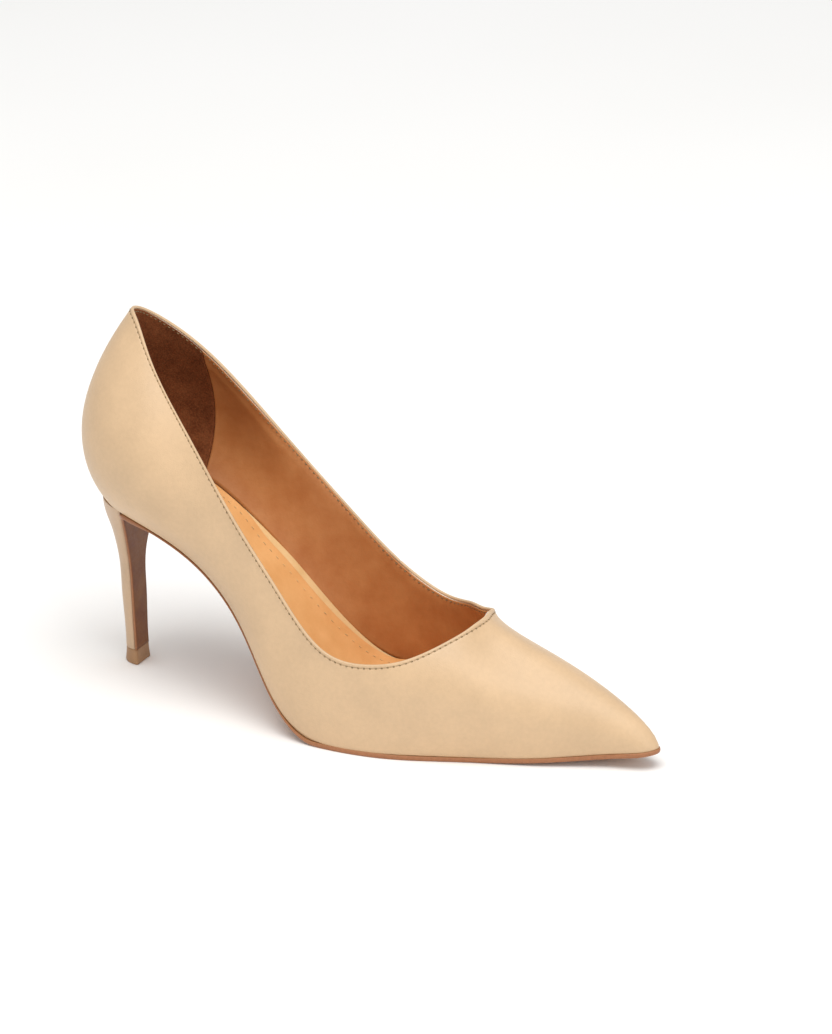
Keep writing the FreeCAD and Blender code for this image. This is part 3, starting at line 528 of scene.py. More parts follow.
def build_lining(name, start, end, count):
    """A lining: from the insole's edge up the inside of the wall, skived thin under the rolled edge,
    with its two cut ends rounded and the dimples of the stitches."""
    u = columns_between(start, end, count)
    table = WALL.lengths(u)
    total = table[:, -1:]
    foot = BACKING_TOP - OUTSOLE + 0.4
    share = np.linspace(0, 1, BODY_ROWS + 8)
    top_zone = np.array([4.6, 3.8, 3.2, 2.7, 2.3, 2.0, 1.75, 1.5, 1.3, 1.15, 1.02, 0.88, 0.78, LINING_DROP])
    up = np.concatenate([foot + (total - 5.2 - foot) * share, total - top_zone], 1)
    drop = drop_below(table, up)
    v = WALL.v_at(table, up)
    columns = np.broadcast_to(u[:, None], v.shape)
    smooth = WALL.layer(columns, v)
    outer = LINING_OUTER + (STIFFENER + CEMENT - TAPE) * stiffened(smooth, v)
    thick = LINING * (1 - 0.45 * (1 - ramp(drop, 0.8, 4.5)))
    thick = thick - 0.34 * np.clip(1 - (drop - LINING_DROP) / 0.45, 0, 1) ** 2
    thick = thick - 0.1 * bell(drop, STITCH_DOWN, 0.3) + 0.04 * bell(drop, STITCH_DOWN + 0.9, 0.5)
    thick = thick * (1 - 0.5 * np.clip(1 - from_ends(u) / 0.7, 0, 1)[:, None] ** 2)
    pattern = np.stack([np.broadcast_to(STITCHES.count_at(u)[:, None], v.shape), drop], -1)
    return strip_piece(name, WALL.layer(columns, v, outer), WALL.layer(columns, v, outer + thick), pattern)


def build_topline_stitches(length, width):
    """The seam thread: for each stitch one short thread on the leather and one on the lining, each
    between two needle holes and turned a little to the row, as a lockstitch lies."""
    middle = STITCHES.place(np.arange(STITCHES.count) + 0.5)
    before, after = middle - 0.4, middle + 0.4
    places = np.concatenate([middle, before, after])
    table = WALL.lengths(places)
    v = WALL.v_at(table, table[:, -1:] - STITCH_DOWN)[:, 0]
    count = len(middle)

    def row(depth):
        points = WALL.layer(places, v, depth)
        centre = points[:count]
        along = points[2 * count:] - points[count:2 * count]
        along /= np.linalg.norm(along, axis=1)[:, None]
        out = centre - WALL.layer(middle, v[:count], depth + 0.5)
        out /= np.linalg.norm(out, axis=1)[:, None]
        side = np.cross(along, out)
        turned = along + side * 0.16
        turned /= np.linalg.norm(turned, axis=1)[:, None]
        return centre, turned, out, np.cross(turned, out)
    outer = row(0.1)
    inner = row(LINING_OUTER + LINING * 0.6)
    centre, along, out, side = (np.concatenate(pair) for pair in zip(outer, inner))
    out = out * np.repeat([1.0, -1.0], count)[:, None]
    side = side * np.repeat([1.0, -1.0], count)[:, None]
    return capsules("topline_thread", centre, along, out, side, length, width, 0.17)


# ---- flat pieces of the bottom ----------------------------------------------------------------------
PLATE_STATIONS = 200


class Outline:
    """A plan outline as its outer side and its inner side, both at the same x, from the back to the
    toe. The x run as 1 minus the cosine of an even angle, so that both round ends stay smooth."""

    def __init__(self, points, start_x=None):
        first, last = np.argmin(points[:, 0]), np.argmax(points[:, 0])
        ring = np.roll(points, -first, 0)
        last = (last - first) % len(points)
        sides = (ring[:last + 1], np.concatenate([ring[last:], ring[:1]])[::-1])
        low, high = ring[0, 0], ring[last, 0]
        angle = np.linspace(0, math.pi, PLATE_STATIONS + 1)
        if start_x is not None:
            start_angle = math.acos(1 - 2 * (start_x - low) / (high - low))
            angle = np.linspace(start_angle, math.pi, PLATE_STATIONS + 1)
        self.x = low + (high - low) * (1 - np.cos(angle)) / 2
        edges = []
        for side in sides:
            x = np.clip(np.maximum.accumulate(side[:, 0]), low, high)
            edges.append(np.interp(angle, np.arccos(1 - 2 * (x - low) / (high - low)), side[:, 1]))
        if edges[0].mean() > edges[1].mean():
            edges = edges[::-1]
        self.sides = [np.stack([self.x, y], 1) for y in edges]
        ring = np.concatenate([self.sides[0], self.sides[1][::-1]])
        run = np.roll(ring, -2, 0) - np.roll(ring, 2, 0)
        inward = np.stack([-run[:, 1], run[:, 0]], 1)
        inward /= np.linalg.norm(inward, axis=1)[:, None]
        count = PLATE_STATIONS + 1
        self.inward = [inward[:count], inward[count:][::-1]]
        if start_x is not None:
            self.inward[0][0], self.inward[1][0] = self.inward[0][3], self.inward[1][3]
            for side in (0, 1):
                self.inward[side][:3] = self.inward[side][3]


def inset_points(inset):
    """Plan points of the feather edge moved in by the inset, without those that cross over."""
    u = np.linspace(0, WALL.around, 1500, endpoint=False)
    edge = WALL.feather.at(u)[:, :2]
    moved = edge + inward_at(u) * inset
    nearest = np.linalg.norm(moved[:, None] - edge[None], axis=2).min(1)
    return moved[nearest > abs(inset) * 0.985 - 0.02]


def lining_plan(clear):
    """Plan points of the linings' inner face at the insole cover, moved in by the clearance."""
    u = np.linspace(0, WALL.around, 1500, endpoint=False)
    table = WALL.lengths(u)
    v = WALL.v_at(table, 0 * table[:, :1] + COVER_TOP - OUTSOLE + 0.6)
    points = WALL.layer(u[:, None], v)
    depth = LINING_OUTER + LINING + (STIFFENER + CEMENT - TAPE) * stiffened(points, v)
    face = WALL.layer(u[:, None], v, depth + clear)[:, 0, :2]
    edge = WALL.layer(u[:, None], v)[:, 0, :2]
    nearest = np.linalg.norm(face[:, None] - edge[None], axis=2).min(1)
    return face[nearest > (depth[:, 0] + clear) * 0.8]


def plate_sections(outline, profile, under, over, across=9):
    """A loop of points at each station of an outline: up the outer edge by the profile's insets and
    shares of the thickness, over the top, down the inner edge and back underneath. under and over
    give the level for x and the share across, -1 to 1."""
    inset, share = (np.array(column) for column in zip(*profile))
    outer, inner = (side[:, None, :] + inward[:, None, :] * inset[None, :, None]
                    for side, inward in zip(outline.sides, outline.inward))
    t = np.linspace(0, 1, across + 2)[1:-1]
    top = outer[:, -1:] + (inner[:, -1:] - outer[:, -1:]) * t[None, :, None]
    base = inner[:, :1] + (outer[:, :1] - inner[:, :1]) * t[None, :, None]
    plan = np.concatenate([outer, top, inner[:, ::-1], base], 1)
    shares = np.concatenate([share, np.ones(across), share[::-1], np.zeros(across)])
    middle = (outline.sides[0] + outline.sides[1])[:, None, 1] / 2
    half = np.maximum((outline.sides[1] - outline.sides[0])[:, None, 1] / 2, 0.01)
    side = np.clip((plan[..., 1] - middle) / half, -1, 1)
    low, high = under(plan[..., 0], side), over(plan[..., 0], side)
    return level(plan[..., 0], plan[..., 1], low + (high - low) * shares)


ROUND_EDGE = ((3.0, 0.0), (1.2, 0.0), (0.3, 0.0), (0.1, 0.12), (0.0, 0.35), (0.0, 0.6), (0.06, 0.8),
              (0.2, 0.94), (0.42, 1.0), (0.8, 1.0), (1.6, 1.0), (3.0, 1.0))


def plate_piece(name, outline, profile, under, over):
    sections = plate_sections(outline, profile, under, over)
    return make_piece(name, sections, quads(sections.shape[0], sections.shape[1], True))


def cushion_rise(x):
    """How far the heel cushion lifts the sock."""
    return (HEEL_CUSHION + CEMENT) * (1 - ramp(x, 36.0, 48.0))


SOCK_WAIST_IN, SOCK_WAIST_OUT, SOCK_STITCH_IN, SOCK_STITCH_END_X = 4.5, 4.5, 5.0, 120.0


def sock_points(extra):
    """Plan points of the sock: the insole's outline, drawn in at the waist."""
    points = lining_plan(0.9 + extra)
    waist = ramp(points[:, 0], 12.0, 55.0) * (1 - ramp(points[:, 0], 62.0, 108.0))
    shift = np.where(points[:, 1] > 0, -SOCK_WAIST_IN, SOCK_WAIST_OUT)
    return np.stack([points[:, 0], points[:, 1] + shift * waist], 1)


def sock_face(x, side):
    """Level of the sock's face: over the cushion at the heel, a little crowned, sunk at its edge."""
    return SOCK_UNDER + cushion_rise(x) + SOCK + 0.25 * (1 - side**2) * (1 - ramp(x, 60.0, 100.0))


def build_sock():
    return plate_piece("sock_leather", Outline(sock_points(0.0)), ROUND_EDGE,
                       lambda x, side: SOCK_UNDER + cushion_rise(x), sock_face)


def build_insole_cover():
    return plate_piece("insole_cover_leather", Outline(lining_plan(0.08)), ROUND_EDGE,
                       lambda x, side: COVER_UNDER + 0 * x, lambda x, side: COVER_TOP + 0 * x)


def build_sock_stitches(length, width, pitch):
    """A row of short threads inside the sock's edge, round the heel and along the waist."""
    outline = Outline(sock_points(0.0))
    inside = Outline(sock_points(SOCK_STITCH_IN))
    keep = inside.x < SOCK_STITCH_END_X
    path = np.concatenate([inside.sides[0][keep][::-1], inside.sides[1][keep][1:]])
    along = np.concatenate([[0.0], np.cumsum(np.linalg.norm(np.diff(path, axis=0), axis=1))])
    count = int(along[-1] / pitch)
    places = (np.arange(count) + 0.5) * along[-1] / count

    def lifted(distance):
        x, y = np.interp(distance, along, path[:, 0]), np.interp(distance, along, path[:, 1])
        middle = np.interp(x, outline.x, (outline.sides[0][:, 1] + outline.sides[1][:, 1]) / 2)
        half = np.interp(x, outline.x, (outline.sides[1][:, 1] - outline.sides[0][:, 1]) / 2)
        return level(x, y, sock_face(x, np.clip((y - middle) / np.maximum(half, 0.1), -1, 1)))
    centre = lifted(places)
    run = lifted(places + 0.4) - lifted(places - 0.4)
    run /= np.linalg.norm(run, axis=1)[:, None]
    slope = (bottom(centre[:, 0] + 0.05) - bottom(centre[:, 0] - 0.05)) / 0.1
    out = np.stack([-slope, 0 * slope, 1 + 0 * slope], 1) / np.sqrt(1 + slope**2)[:, None]
    side = np.cross(run, out)
    side /= np.linalg.norm(side, axis=1)[:, None]
    return capsules("sock_thread", centre, run, np.cross(side, run), side, length, width, 0.14)


# ---- sole and heel ----------------------------------------------------------------------------------
class HeelForm:
    """Breast x, half width and depth of the heel at a height: a cubic spline through the sections,
    with end slopes from the parabola through the last three."""

    def __init__(self):
        height, values = HEEL_SECTIONS[:, 0] * SEAT_Z, HEEL_SECTIONS[:, 1:]
        count, span = len(height), np.diff(height)
        step = np.diff(values, axis=0) / span[:, None]
        system = np.eye(count)
        wanted = np.zeros_like(values)
        wanted[0] = step[0] - (step[1] - step[0]) * span[0] / (span[0] + span[1])
        wanted[-1] = step[-1] + (step[-1] - step[-2]) * span[-1] / (span[-1] + span[-2])
        inner = np.arange(1, count - 1)
        system[inner, inner - 1], system[inner, inner + 1] = span[1:], span[:-1]
        system[inner, inner] = 2 * (span[1:] + span[:-1])
        wanted[1:-1] = 3 * (step[:-1] * span[1:, None] + step[1:] * span[:-1, None])
        self.height, self.values = height, values
        self.slopes = np.linalg.solve(system, wanted)

    def at(self, z):
        i = np.clip(np.searchsorted(self.height, z, side="right") - 1, 0, len(self.height) - 2)
        span = (self.height[i + 1] - self.height[i])[..., None]
        t = (z - self.height[i])[..., None] / span
        form = hermite(t, self.values[i], self.values[i + 1], self.slopes[i] * span,
                       self.slopes[i + 1] * span)
        return form[..., 0], form[..., 1], form[..., 2]


HEEL = HeelForm()
SOLE_EDGE = ((3.0, 0.0), (1.4, 0.0), (0.55, 0.0), (0.28, 0.03), (0.1, 0.12), (0.0, 0.3), (0.0, 0.68),
             (0.08, 0.84), (0.25, 0.95), (0.5, 1.0), (1.4, 1.0), (3.0, 1.0))
SOLE_ACROSS = 9


def sole_under(x, side):
    """Level of the sole's underside: pared thin towards its edges through the waist."""
    waist = ramp(x, 8.0, 20.0) * (1 - ramp(x, 78.0, 100.0))
    return 1.1 * waist * np.clip((np.abs(side) - 0.8) / 0.2, 0, 1) ** 1.5


def build_outsole():
    """The sole in one run: the flap up the heel's breast, the tight turn under the seat and the thin
    sole through the waist to the toe. Each row is a loop round the section with the edge's rounding."""
    corner_x = 4.6
    for repeat in range(8):
        corner_x = float(HEEL.at(np.array(bottom(np.array(corner_x))))[0])
    turn = 3.2
    outline = Outline(inset_points(-SOLE_PROUD), corner_x + turn)
    sole = plate_sections(outline, SOLE_EDGE, sole_under, lambda x, side: OUTSOLE + 0 * x, SOLE_ACROSS)
    inset, share = (np.array(column) for column in zip(*SOLE_EDGE))
    t = np.linspace(0, 1, SOLE_ACROSS + 2)[1:-1]
    shares = np.concatenate([share, np.ones(SOLE_ACROSS), share[::-1], np.zeros(SOLE_ACROSS)])

    def breast_row(z, half, x_front, x_back, z_back):
        room = np.minimum(inset, half * 0.9)
        left = -half + room
        right = (half - room)[::-1]
        y = np.concatenate([left, left[-1] + (right[0] - left[-1]) * t,
                            right, right[-1] + (left[0] - right[-1]) * t])
        return np.stack([x_front + (x_back - x_front) * shares, y, z + (z_back - z) * shares], 1)
    corner_z = float(bottom(np.array(corner_x)))
    rows = []
    for z in np.linspace(TOP_PIECE_HEIGHT + CEMENT, corner_z - turn, 46):
        breast, half = HEEL.at(np.array(z))[:2]
        rows.append(breast_row(z, half, breast, breast - BREAST_FLAP, z))
    first = np.stack(rows)
    corner_half = float(sole[0, len(inset) + SOLE_ACROSS:, 1].max())
    back_x = corner_x - BREAST_FLAP
    corner = breast_row(corner_z, corner_half, corner_x, back_x,
                        float(level(back_x, 0.0, OUTSOLE)[2]))
    bend = np.linspace(0, 1, 9)[1:-1, None, None]
    turned = (1 - bend) ** 2 * first[-1] + 2 * bend * (1 - bend) * corner + bend**2 * sole[0]
    sections = np.concatenate([first, turned, sole])
    rows, points = sections.shape[:2]
    along = np.concatenate([[0.0], np.cumsum(np.linalg.norm(np.diff(sections[:, 0], axis=0), axis=1))])
    edge = np.concatenate([1 - ramp(inset, 0.05, 0.5), 0 * t, (1 - ramp(inset, 0.05, 0.5))[::-1], 0 * t])
    # The breast mark sets where the sole material paints the flap darker as shade under the arch; the edge
    # mark sets the stained edge.
    marks = {"edge": np.broadcast_to(edge, (rows, points)).copy(),
             "breast": np.broadcast_to((1 - ramp(np.arange(rows), 44, 52))[:, None], (rows, points)).copy()}
    pattern = np.stack([np.broadcast_to(along[:, None], (rows, points)), sections[..., 1]], -1)
    faces = np.concatenate([quads(rows, points, True), breast_cap(points, len(inset))])
    return make_piece("sole_leather", sections, faces, pattern, marks)


def breast_cap(points, edge_points):
    """Closes the flap's lower end: quads between its front line and its back line."""
    across = (points - 2 * edge_points) // 2
    bottom_line = np.concatenate([[0], points - 1 - np.arange(across), [points - 1 - across]])
    top_line = np.concatenate([[edge_points - 1], edge_points + np.arange(across), [edge_points + across]])
    middle = np.stack([bottom_line[:-1], bottom_line[1:], top_line[1:], top_line[:-1]], 1)
    k = np.arange(edge_points // 2 - 1)
    side = np.stack([k, edge_points - 1 - k, edge_points - 2 - k, k + 1], 1)
    start = edge_points + across
    other = np.stack([start + k, start + edge_points - 1 - k, start + edge_points - 2 - k, start + k + 1], 1)
    return np.concatenate([middle, side, other])


def heel_back(z, turn, inset, breast_inset):
    """Points of the heel's rounded back: an ellipse from breast edge to breast edge, by the angle."""
    breast, half, depth = HEEL.at(z)
    x = breast - breast_inset - (depth - inset - breast_inset) * np.cos(turn)
    return np.stack([x, (half - inset) * np.sin(turn), z], -1)


def build_heel_cover():
    """The leather round the heel, from flap edge to flap edge, with its edges turned in."""
    close = np.array([81, 85, 87.5, 89, 90])
    turn = np.radians(np.concatenate([-close[::-1], np.linspace(-76, 76, 60), close]))
    rounding = 0.3 * np.clip(1 - (90 - np.abs(np.degrees(turn))) / 5, 0, 1) ** 2
    low = TOP_PIECE_HEIGHT + CEMENT
    breast_inset = BREAST_FLAP + CEMENT
    faces = []
    for inset in (0.0, COVER):
        top = np.full(len(turn), SEAT_Z)
        for repeat in range(8):
            x = heel_back(top, turn, inset, breast_inset)[:, 0]
            top = bottom(x) + OUTSOLE * stretch(x)
        share = np.concatenate([[0, 0.004, 0.01, 0.02], np.linspace(0.035, 0.985, 70), [0.993, 1.0]])
        z = low + (top[:, None] + 0.12 - low) * share
        edge = rounding[:, None] + 0.2 * np.clip(1 - share / 0.015, 0, 1)[None, :] ** 2
        depth = edge + inset if inset == 0 else inset + 0 * edge
        faces.append(heel_back(z, np.broadcast_to(turn[:, None], z.shape), depth, breast_inset))
    return strip_piece("heel_cover_leather", faces[0], faces[1])


def build_top_piece():
    """The top piece: the heel's D-shaped section with rounded corners, a little wider at the floor."""
    back = np.radians(np.linspace(-90, 90, 49))
    rows = []
    profile = ((0.0, 3.6), (0.0, 2.0), (0.0, 0.75), (0.06, 0.35), (0.22, 0.1), (0.5, 0.0), (1.6, 0.0),
               (3.2, 0.05), (4.8, 0.04), (5.5, 0.02), (5.78, 0.06), (5.94, 0.18), (6.0, 0.4),
               (6.0, 2.0), (6.0, 3.6))
    for z, inset in profile:
        breast, half, depth = (float(value) for value in HEEL.at(np.array(z)))
        flare = 0.15 * (1 - z / TOP_PIECE_HEIGHT)
        arc = np.stack([breast - (depth + flare) * np.cos(back), (half + flare) * np.sin(back)], 1)
        flat = np.stack([np.full(23, breast), np.linspace(half + flare, -half - flare, 25)[1:-1]], 1)
        ring = np.concatenate([arc, flat])
        for repeat in range(3):
            ring = (np.roll(ring, 1, 0) + 2 * ring + np.roll(ring, -1, 0)) / 4
        middle = np.array([breast - depth * 0.45, 0.0])
        inner = middle + (ring - middle) * max(0.0, 1 - inset / 3.6)
        rows.append(np.concatenate([inner, np.full((len(inner), 1), z)], 1))
    sections = np.stack(rows)
    return make_piece("top_piece_polyurethane", sections, quads(sections.shape[0], sections.shape[1], True))


# ---- materials --------------------------------------------------------------------------------------
COLOUR_A, COLOUR_B = 6, 7    # the colour inputs of Blender's mixing node
WAVES_PER_UNIT = 6           # bands that its wave texture makes over one unit
ROLL_LINES = (60.0, 1200.0, 1200.0)
HOLE_SLANT, HOLE_LONG, HOLE_WIDE = 0.6, 0.62, 0.34    # of the dent round a needle hole, millimetres


def connect(tree, node, inputs):
    """Gives a node's sockets their values. A node stands for its first output in use, which is linked."""
    for socket, value in inputs.items():
        if isinstance(value, bpy.types.Node):
            value = next(output for output in value.outputs if output.enabled)
        if isinstance(value, bpy.types.NodeSocket):
            tree.links.new(value, node.inputs[socket])
        else:
            node.inputs[socket].default_value = value


def add(tree, kind, inputs=None, **settings):
    """Adds a node with its settings, and its inputs as values or links."""
    node = tree.nodes.new(kind)
    for name, value in settings.items():
        setattr(node, name, value)
    connect(tree, node, inputs or {})
    return node


def new_material(name, **sockets):
    """A material with its tree, its one Principled shader and the piece's own place for patterns.
    The uniform values are set on the shader's sockets."""
    material = bpy.data.materials.new(name)
    material.use_nodes = True
    tree = material.node_tree
    shader = tree.nodes["Principled BSDF"]
    connect(tree, shader, {socket.replace("_", " "): value for socket, value in sockets.items()})
    place = add(tree, "ShaderNodeTexCoord").outputs["Object"]
    return material, tree, shader, place


def per_mm(size):
    """Texture scale for features of a size in millimetres, on coordinates in metres."""
    return 1 / (size * MM)


def two_tones(tree, pattern, low, high, start=0.3, end=0.7):
    """A finish in two tones: the low colour where the pattern is at start, the high one at end."""
    share = add(tree, "ShaderNodeMapRange", {"Value": pattern, "From Min": start, "From Max": end})
    return add(tree, "ShaderNodeMix", {"Factor": share, COLOUR_A: low, COLOUR_B: high}, data_type="RGBA")


def shifted(colour, by):
    """The same colour, lighter or darker by a share."""
    return tuple(min(1.0, c * (1 + by)) for c in colour[:3]) + (1.0,)


def needle_holes(tree, uv):
    """How deep the leather is drawn in round each needle hole: 0.55 at the middle, 0 outside a small
    slanting ellipse. The pattern counts stitches along the row and millimetres down from the edge.
    The nappa also uses this share to paint the dent darker, as painted shade in the hole."""
    parts = add(tree, "ShaderNodeSeparateXYZ", {"Vector": uv})
    turns = add(tree, "ShaderNodeMath", {0: parts.outputs["X"], 1: 0.5}, operation="ADD")
    share = add(tree, "ShaderNodeMath", {0: turns}, operation="FRACT")
    centred = add(tree, "ShaderNodeMath", {0: share, 1: 0.5}, operation="SUBTRACT")
    aside = add(tree, "ShaderNodeMath", {0: centred, 1: STITCH_PITCH}, operation="MULTIPLY")
    down = add(tree, "ShaderNodeMath", {0: parts.outputs["Y"], 1: STITCH_DOWN}, operation="SUBTRACT")
    slanted = add(tree, "ShaderNodeMath", {0: down, 1: HOLE_SLANT, 2: aside}, operation="MULTIPLY_ADD")
    long = add(tree, "ShaderNodeMath", {0: slanted, 1: HOLE_LONG}, operation="DIVIDE")
    wide = add(tree, "ShaderNodeMath", {0: down, 1: HOLE_WIDE}, operation="DIVIDE")
    long_square = add(tree, "ShaderNodeMath", {0: long, 1: 2.0}, operation="POWER")
    wide_square = add(tree, "ShaderNodeMath", {0: wide, 1: 2.0}, operation="POWER")
    reach = add(tree, "ShaderNodeMath", {0: long_square, 1: wide_square}, operation="ADD")
    return add(tree, "ShaderNodeMapRange", {"Value": reach, "From Min": 0.35, "From Max": 1.3,
                                            "To Min": 0.55, "To Max": 0.0})


def nappa(name, colour, stitched=False):
    """Lambskin nappa, drum dyed and finished with a thin clear polish: an even warm colour with slow
    clouds of tone, pores just visible, a soft sheen and fine creases where it bends. The pores are
    drawn at 0.9 mm, about three times their real size, so that they show."""
    material, tree, shader, place = new_material(name, Coat_Weight=0.12, Coat_Roughness=0.3)
    clouds = add(tree, "ShaderNodeTexNoise", {"Vector": place, "Scale": per_mm(17.0), "Detail": 3.0,
                                              "Roughness": 0.55})
    flecks = add(tree, "ShaderNodeTexNoise", {"Vector": place, "Scale": per_mm(1.6), "Detail": 2.0})
    grain = add(tree, "ShaderNodeTexNoise", {"Vector": place, "Scale": per_mm(2.4), "Detail": 3.0})
    pores = add(tree, "ShaderNodeTexVoronoi", {"Vector": place, "Scale": per_mm(0.9), "Randomness": 1.0},
                feature="DISTANCE_TO_EDGE")
    tone = two_tones(tree, clouds, shifted(colour, -0.055), shifted(colour, 0.045))
    white = linear("FFFFFF")
    fleck_tone = two_tones(tree, flecks, shifted(white, -0.05), white)
    leather = add(tree, "ShaderNodeMix", {"Factor": 1.0, COLOUR_A: tone, COLOUR_B: fleck_tone},
                  data_type="RGBA", blend_type="MULTIPLY")
    pore_height = add(tree, "ShaderNodeMapRange", {"Value": pores, "From Max": 0.18, "To Max": 0.42})
    height = add(tree, "ShaderNodeMath", {0: pore_height, 1: grain}, operation="ADD")
    polish = add(tree, "ShaderNodeMapRange", {"Value": clouds, "From Min": 0.3, "From Max": 0.7,
                                              "To Min": 0.40, "To Max": 0.49})
    if stitched:
        uv = add(tree, "ShaderNodeUVMap", uv_map="pattern")
        creased = add(tree, "ShaderNodeAttribute", attribute_name="creases").outputs["Fac"]
        drawn_out = add(tree, "ShaderNodeMapping", {"Vector": uv, "Scale": (1.55, 0.085, 1.0)})
        lines = add(tree, "ShaderNodeTexNoise", {"Vector": drawn_out, "Scale": 1.0, "Detail": 2.0})
        creases = add(tree, "ShaderNodeMath", {0: lines, 1: creased}, operation="MULTIPLY")
        height = add(tree, "ShaderNodeMath", {0: creases, 1: 2.6, 2: height}, operation="MULTIPLY_ADD")
        hole = needle_holes(tree, uv)
        # Painted shade: the dent round each needle hole is darkened towards 9A7B58 by its depth.
        leather = add(tree, "ShaderNodeMix", {"Factor": hole, COLOUR_A: leather, COLOUR_B: linear("9A7B58")},
                      data_type="RGBA")
        height = add(tree, "ShaderNodeMath", {0: hole, 1: -2.0, 2: height}, operation="MULTIPLY_ADD")
    bump = add(tree, "ShaderNodeBump", {"Height": height, "Distance": 0.06 * MM, "Strength": 1.0})
    connect(tree, shader, {"Base Color": leather, "Roughness": polish, "Normal": bump})
    return material


def lining_calf(name, low, high, rough=0.5):
    """Vegetable tanned lining leather, glazed: a deep tan that clouds from red to yellow, a little
    shine and a fine grain."""
    material, tree, shader, place = new_material(name, Specular_IOR_Level=0.4)
    clouds = add(tree, "ShaderNodeTexNoise", {"Vector": place, "Scale": per_mm(11.0), "Detail": 4.0,
                                              "Roughness": 0.6})
    fibre = add(tree, "ShaderNodeTexNoise", {"Vector": place, "Scale": per_mm(1.1), "Detail": 3.0})
    glaze = add(tree, "ShaderNodeMapRange", {"Value": fibre, "From Min": 0.3, "From Max": 0.7,
                                             "To Min": rough - 0.06, "To Max": rough + 0.08})
    bump = add(tree, "ShaderNodeBump", {"Height": fibre, "Distance": 0.05 * MM, "Strength": 1.0})
    connect(tree, shader, {"Base Color": two_tones(tree, clouds, low, high, 0.32, 0.68),
                           "Roughness": glaze, "Normal": bump})
    return material


def suede_nap(name):
    """Pigskin suede, the flesh side buffed to a nap: very dark and matt, with paler streaks where the
    nap lies the other way. The nap is drawn at 0.7 mm, coarser than it is, so that it shows."""
    material, tree, shader, place = new_material(
        name, Roughness=0.96, Sheen_Weight=0.35, Sheen_Roughness=0.55, Sheen_Tint=linear("9A6238"),
        Specular_IOR_Level=0.2)
    nap = add(tree, "ShaderNodeTexNoise", {"Vector": place, "Scale": per_mm(0.7), "Detail": 3.0,
                                           "Roughness": 0.7})
    strokes = add(tree, "ShaderNodeTexNoise", {"Vector": place, "Scale": per_mm(9.0), "Detail": 3.0,
                                               "Distortion": 0.8})
    lighter = add(tree, "ShaderNodeMath", {0: nap, 1: 0.6}, operation="MULTIPLY")
    both = add(tree, "ShaderNodeMath", {0: strokes, 1: 0.4, 2: lighter}, operation="MULTIPLY_ADD")
    bump = add(tree, "ShaderNodeBump", {"Height": nap, "Distance": 0.16 * MM, "Strength": 1.0})
    tone = two_tones(tree, both, linear("5A2C14"), linear("8A5230"), 0.36, 0.66)
    connect(tree, shader, {"Base Color": tone, "Normal": bump})
    return material


def sole_leather():
    """Vegetable tanned sole leather, ink stained and waxed at the edge: a red brown polished edge, a
    lightly scuffed underside, and on the breast the same leather painted darker as the shade under the arch."""
    material, tree, shader, place = new_material("sole_leather_stained", Specular_IOR_Level=0.45)
    clouds = add(tree, "ShaderNodeTexNoise", {"Vector": place, "Scale": per_mm(8.0), "Detail": 4.0})
    scuffs = add(tree, "ShaderNodeTexNoise", {"Vector": place, "Scale": per_mm(1.3), "Detail": 4.0,
                                              "Roughness": 0.7})
    edge = add(tree, "ShaderNodeAttribute", attribute_name="edge").outputs["Fac"]
    breast = add(tree, "ShaderNodeAttribute", attribute_name="breast").outputs["Fac"]
    under = two_tones(tree, clouds, linear("9A6A42"), linear("AD7B50"))
    # The breast keeps the sole leather's own red brown. Its darker tone, 703C1A to 82501F, is painted shade
    # under the arch.
    flap = two_tones(tree, clouds, linear("703C1A"), linear("82501F"))
    rim = two_tones(tree, scuffs, linear("96613F"), linear("A8704A"))
    face = add(tree, "ShaderNodeMix", {"Factor": breast, COLOUR_A: under, COLOUR_B: flap}, data_type="RGBA")
    stain = add(tree, "ShaderNodeMix", {"Factor": edge, COLOUR_A: face, COLOUR_B: rim}, data_type="RGBA")
    worn = add(tree, "ShaderNodeMath", {0: edge, 1: -0.25, 2: scuffs}, operation="MULTIPLY_ADD")
    wax = add(tree, "ShaderNodeMapRange", {"Value": worn, "From Min": 0.1, "From Max": 0.7,
                                           "To Min": 0.36, "To Max": 0.62})
    bump = add(tree, "ShaderNodeBump", {"Height": scuffs, "Distance": 0.05 * MM, "Strength": 1.0})
    connect(tree, shader, {"Base Color": stain, "Roughness": wax, "Normal": bump})
    return material


def thread(name, colour):
    """Bonded polyester thread: three twisted plies in slanting bands, the grooves between them painted 30 per
    cent darker as shade.
    """
    material, tree, shader, place = new_material(name, Roughness=0.6, Sheen_Weight=0.1)
    plies = add(tree, "ShaderNodeTexWave", {"Vector": place, "Scale": per_mm(0.45) / WAVES_PER_UNIT,
                                            "Distortion": 1.0}, bands_direction="DIAGONAL").outputs["Fac"]
    bump = add(tree, "ShaderNodeBump", {"Height": plies, "Distance": 0.05 * MM, "Strength": 1.0})
    # Painted shade: the grooves between the plies are darkened by 30 per cent.
    plies_painted_shade = two_tones(tree, plies, shifted(colour, -0.3), colour, 0.1, 0.8)
    connect(tree, shader, {"Base Color": plies_painted_shade, "Normal": bump})
    return material


def moulded(name, low, high, rough, size=2.0, depth=0.03):
    """A moulded or pressed solid: two near tones in slow clouds and the faint texture of its mould."""
    material, tree, shader, place = new_material(name)
    clouds = add(tree, "ShaderNodeTexNoise", {"Vector": place, "Scale": per_mm(size * 4), "Detail": 3.0})
    texture = add(tree, "ShaderNodeTexNoise", {"Vector": place, "Scale": per_mm(size * 0.4), "Detail": 2.0})
    gloss = add(tree, "ShaderNodeMapRange", {"Value": texture, "From Min": 0.3, "From Max": 0.7,
                                             "To Min": rough - 0.05, "To Max": rough + 0.07})
    bump = add(tree, "ShaderNodeBump", {"Height": texture, "Distance": depth * MM, "Strength": 1.0})
    tone = two_tones(tree, clouds, linear(low), linear(high))
    connect(tree, shader, {"Base Color": tone, "Roughness": gloss, "Normal": bump})
    return material


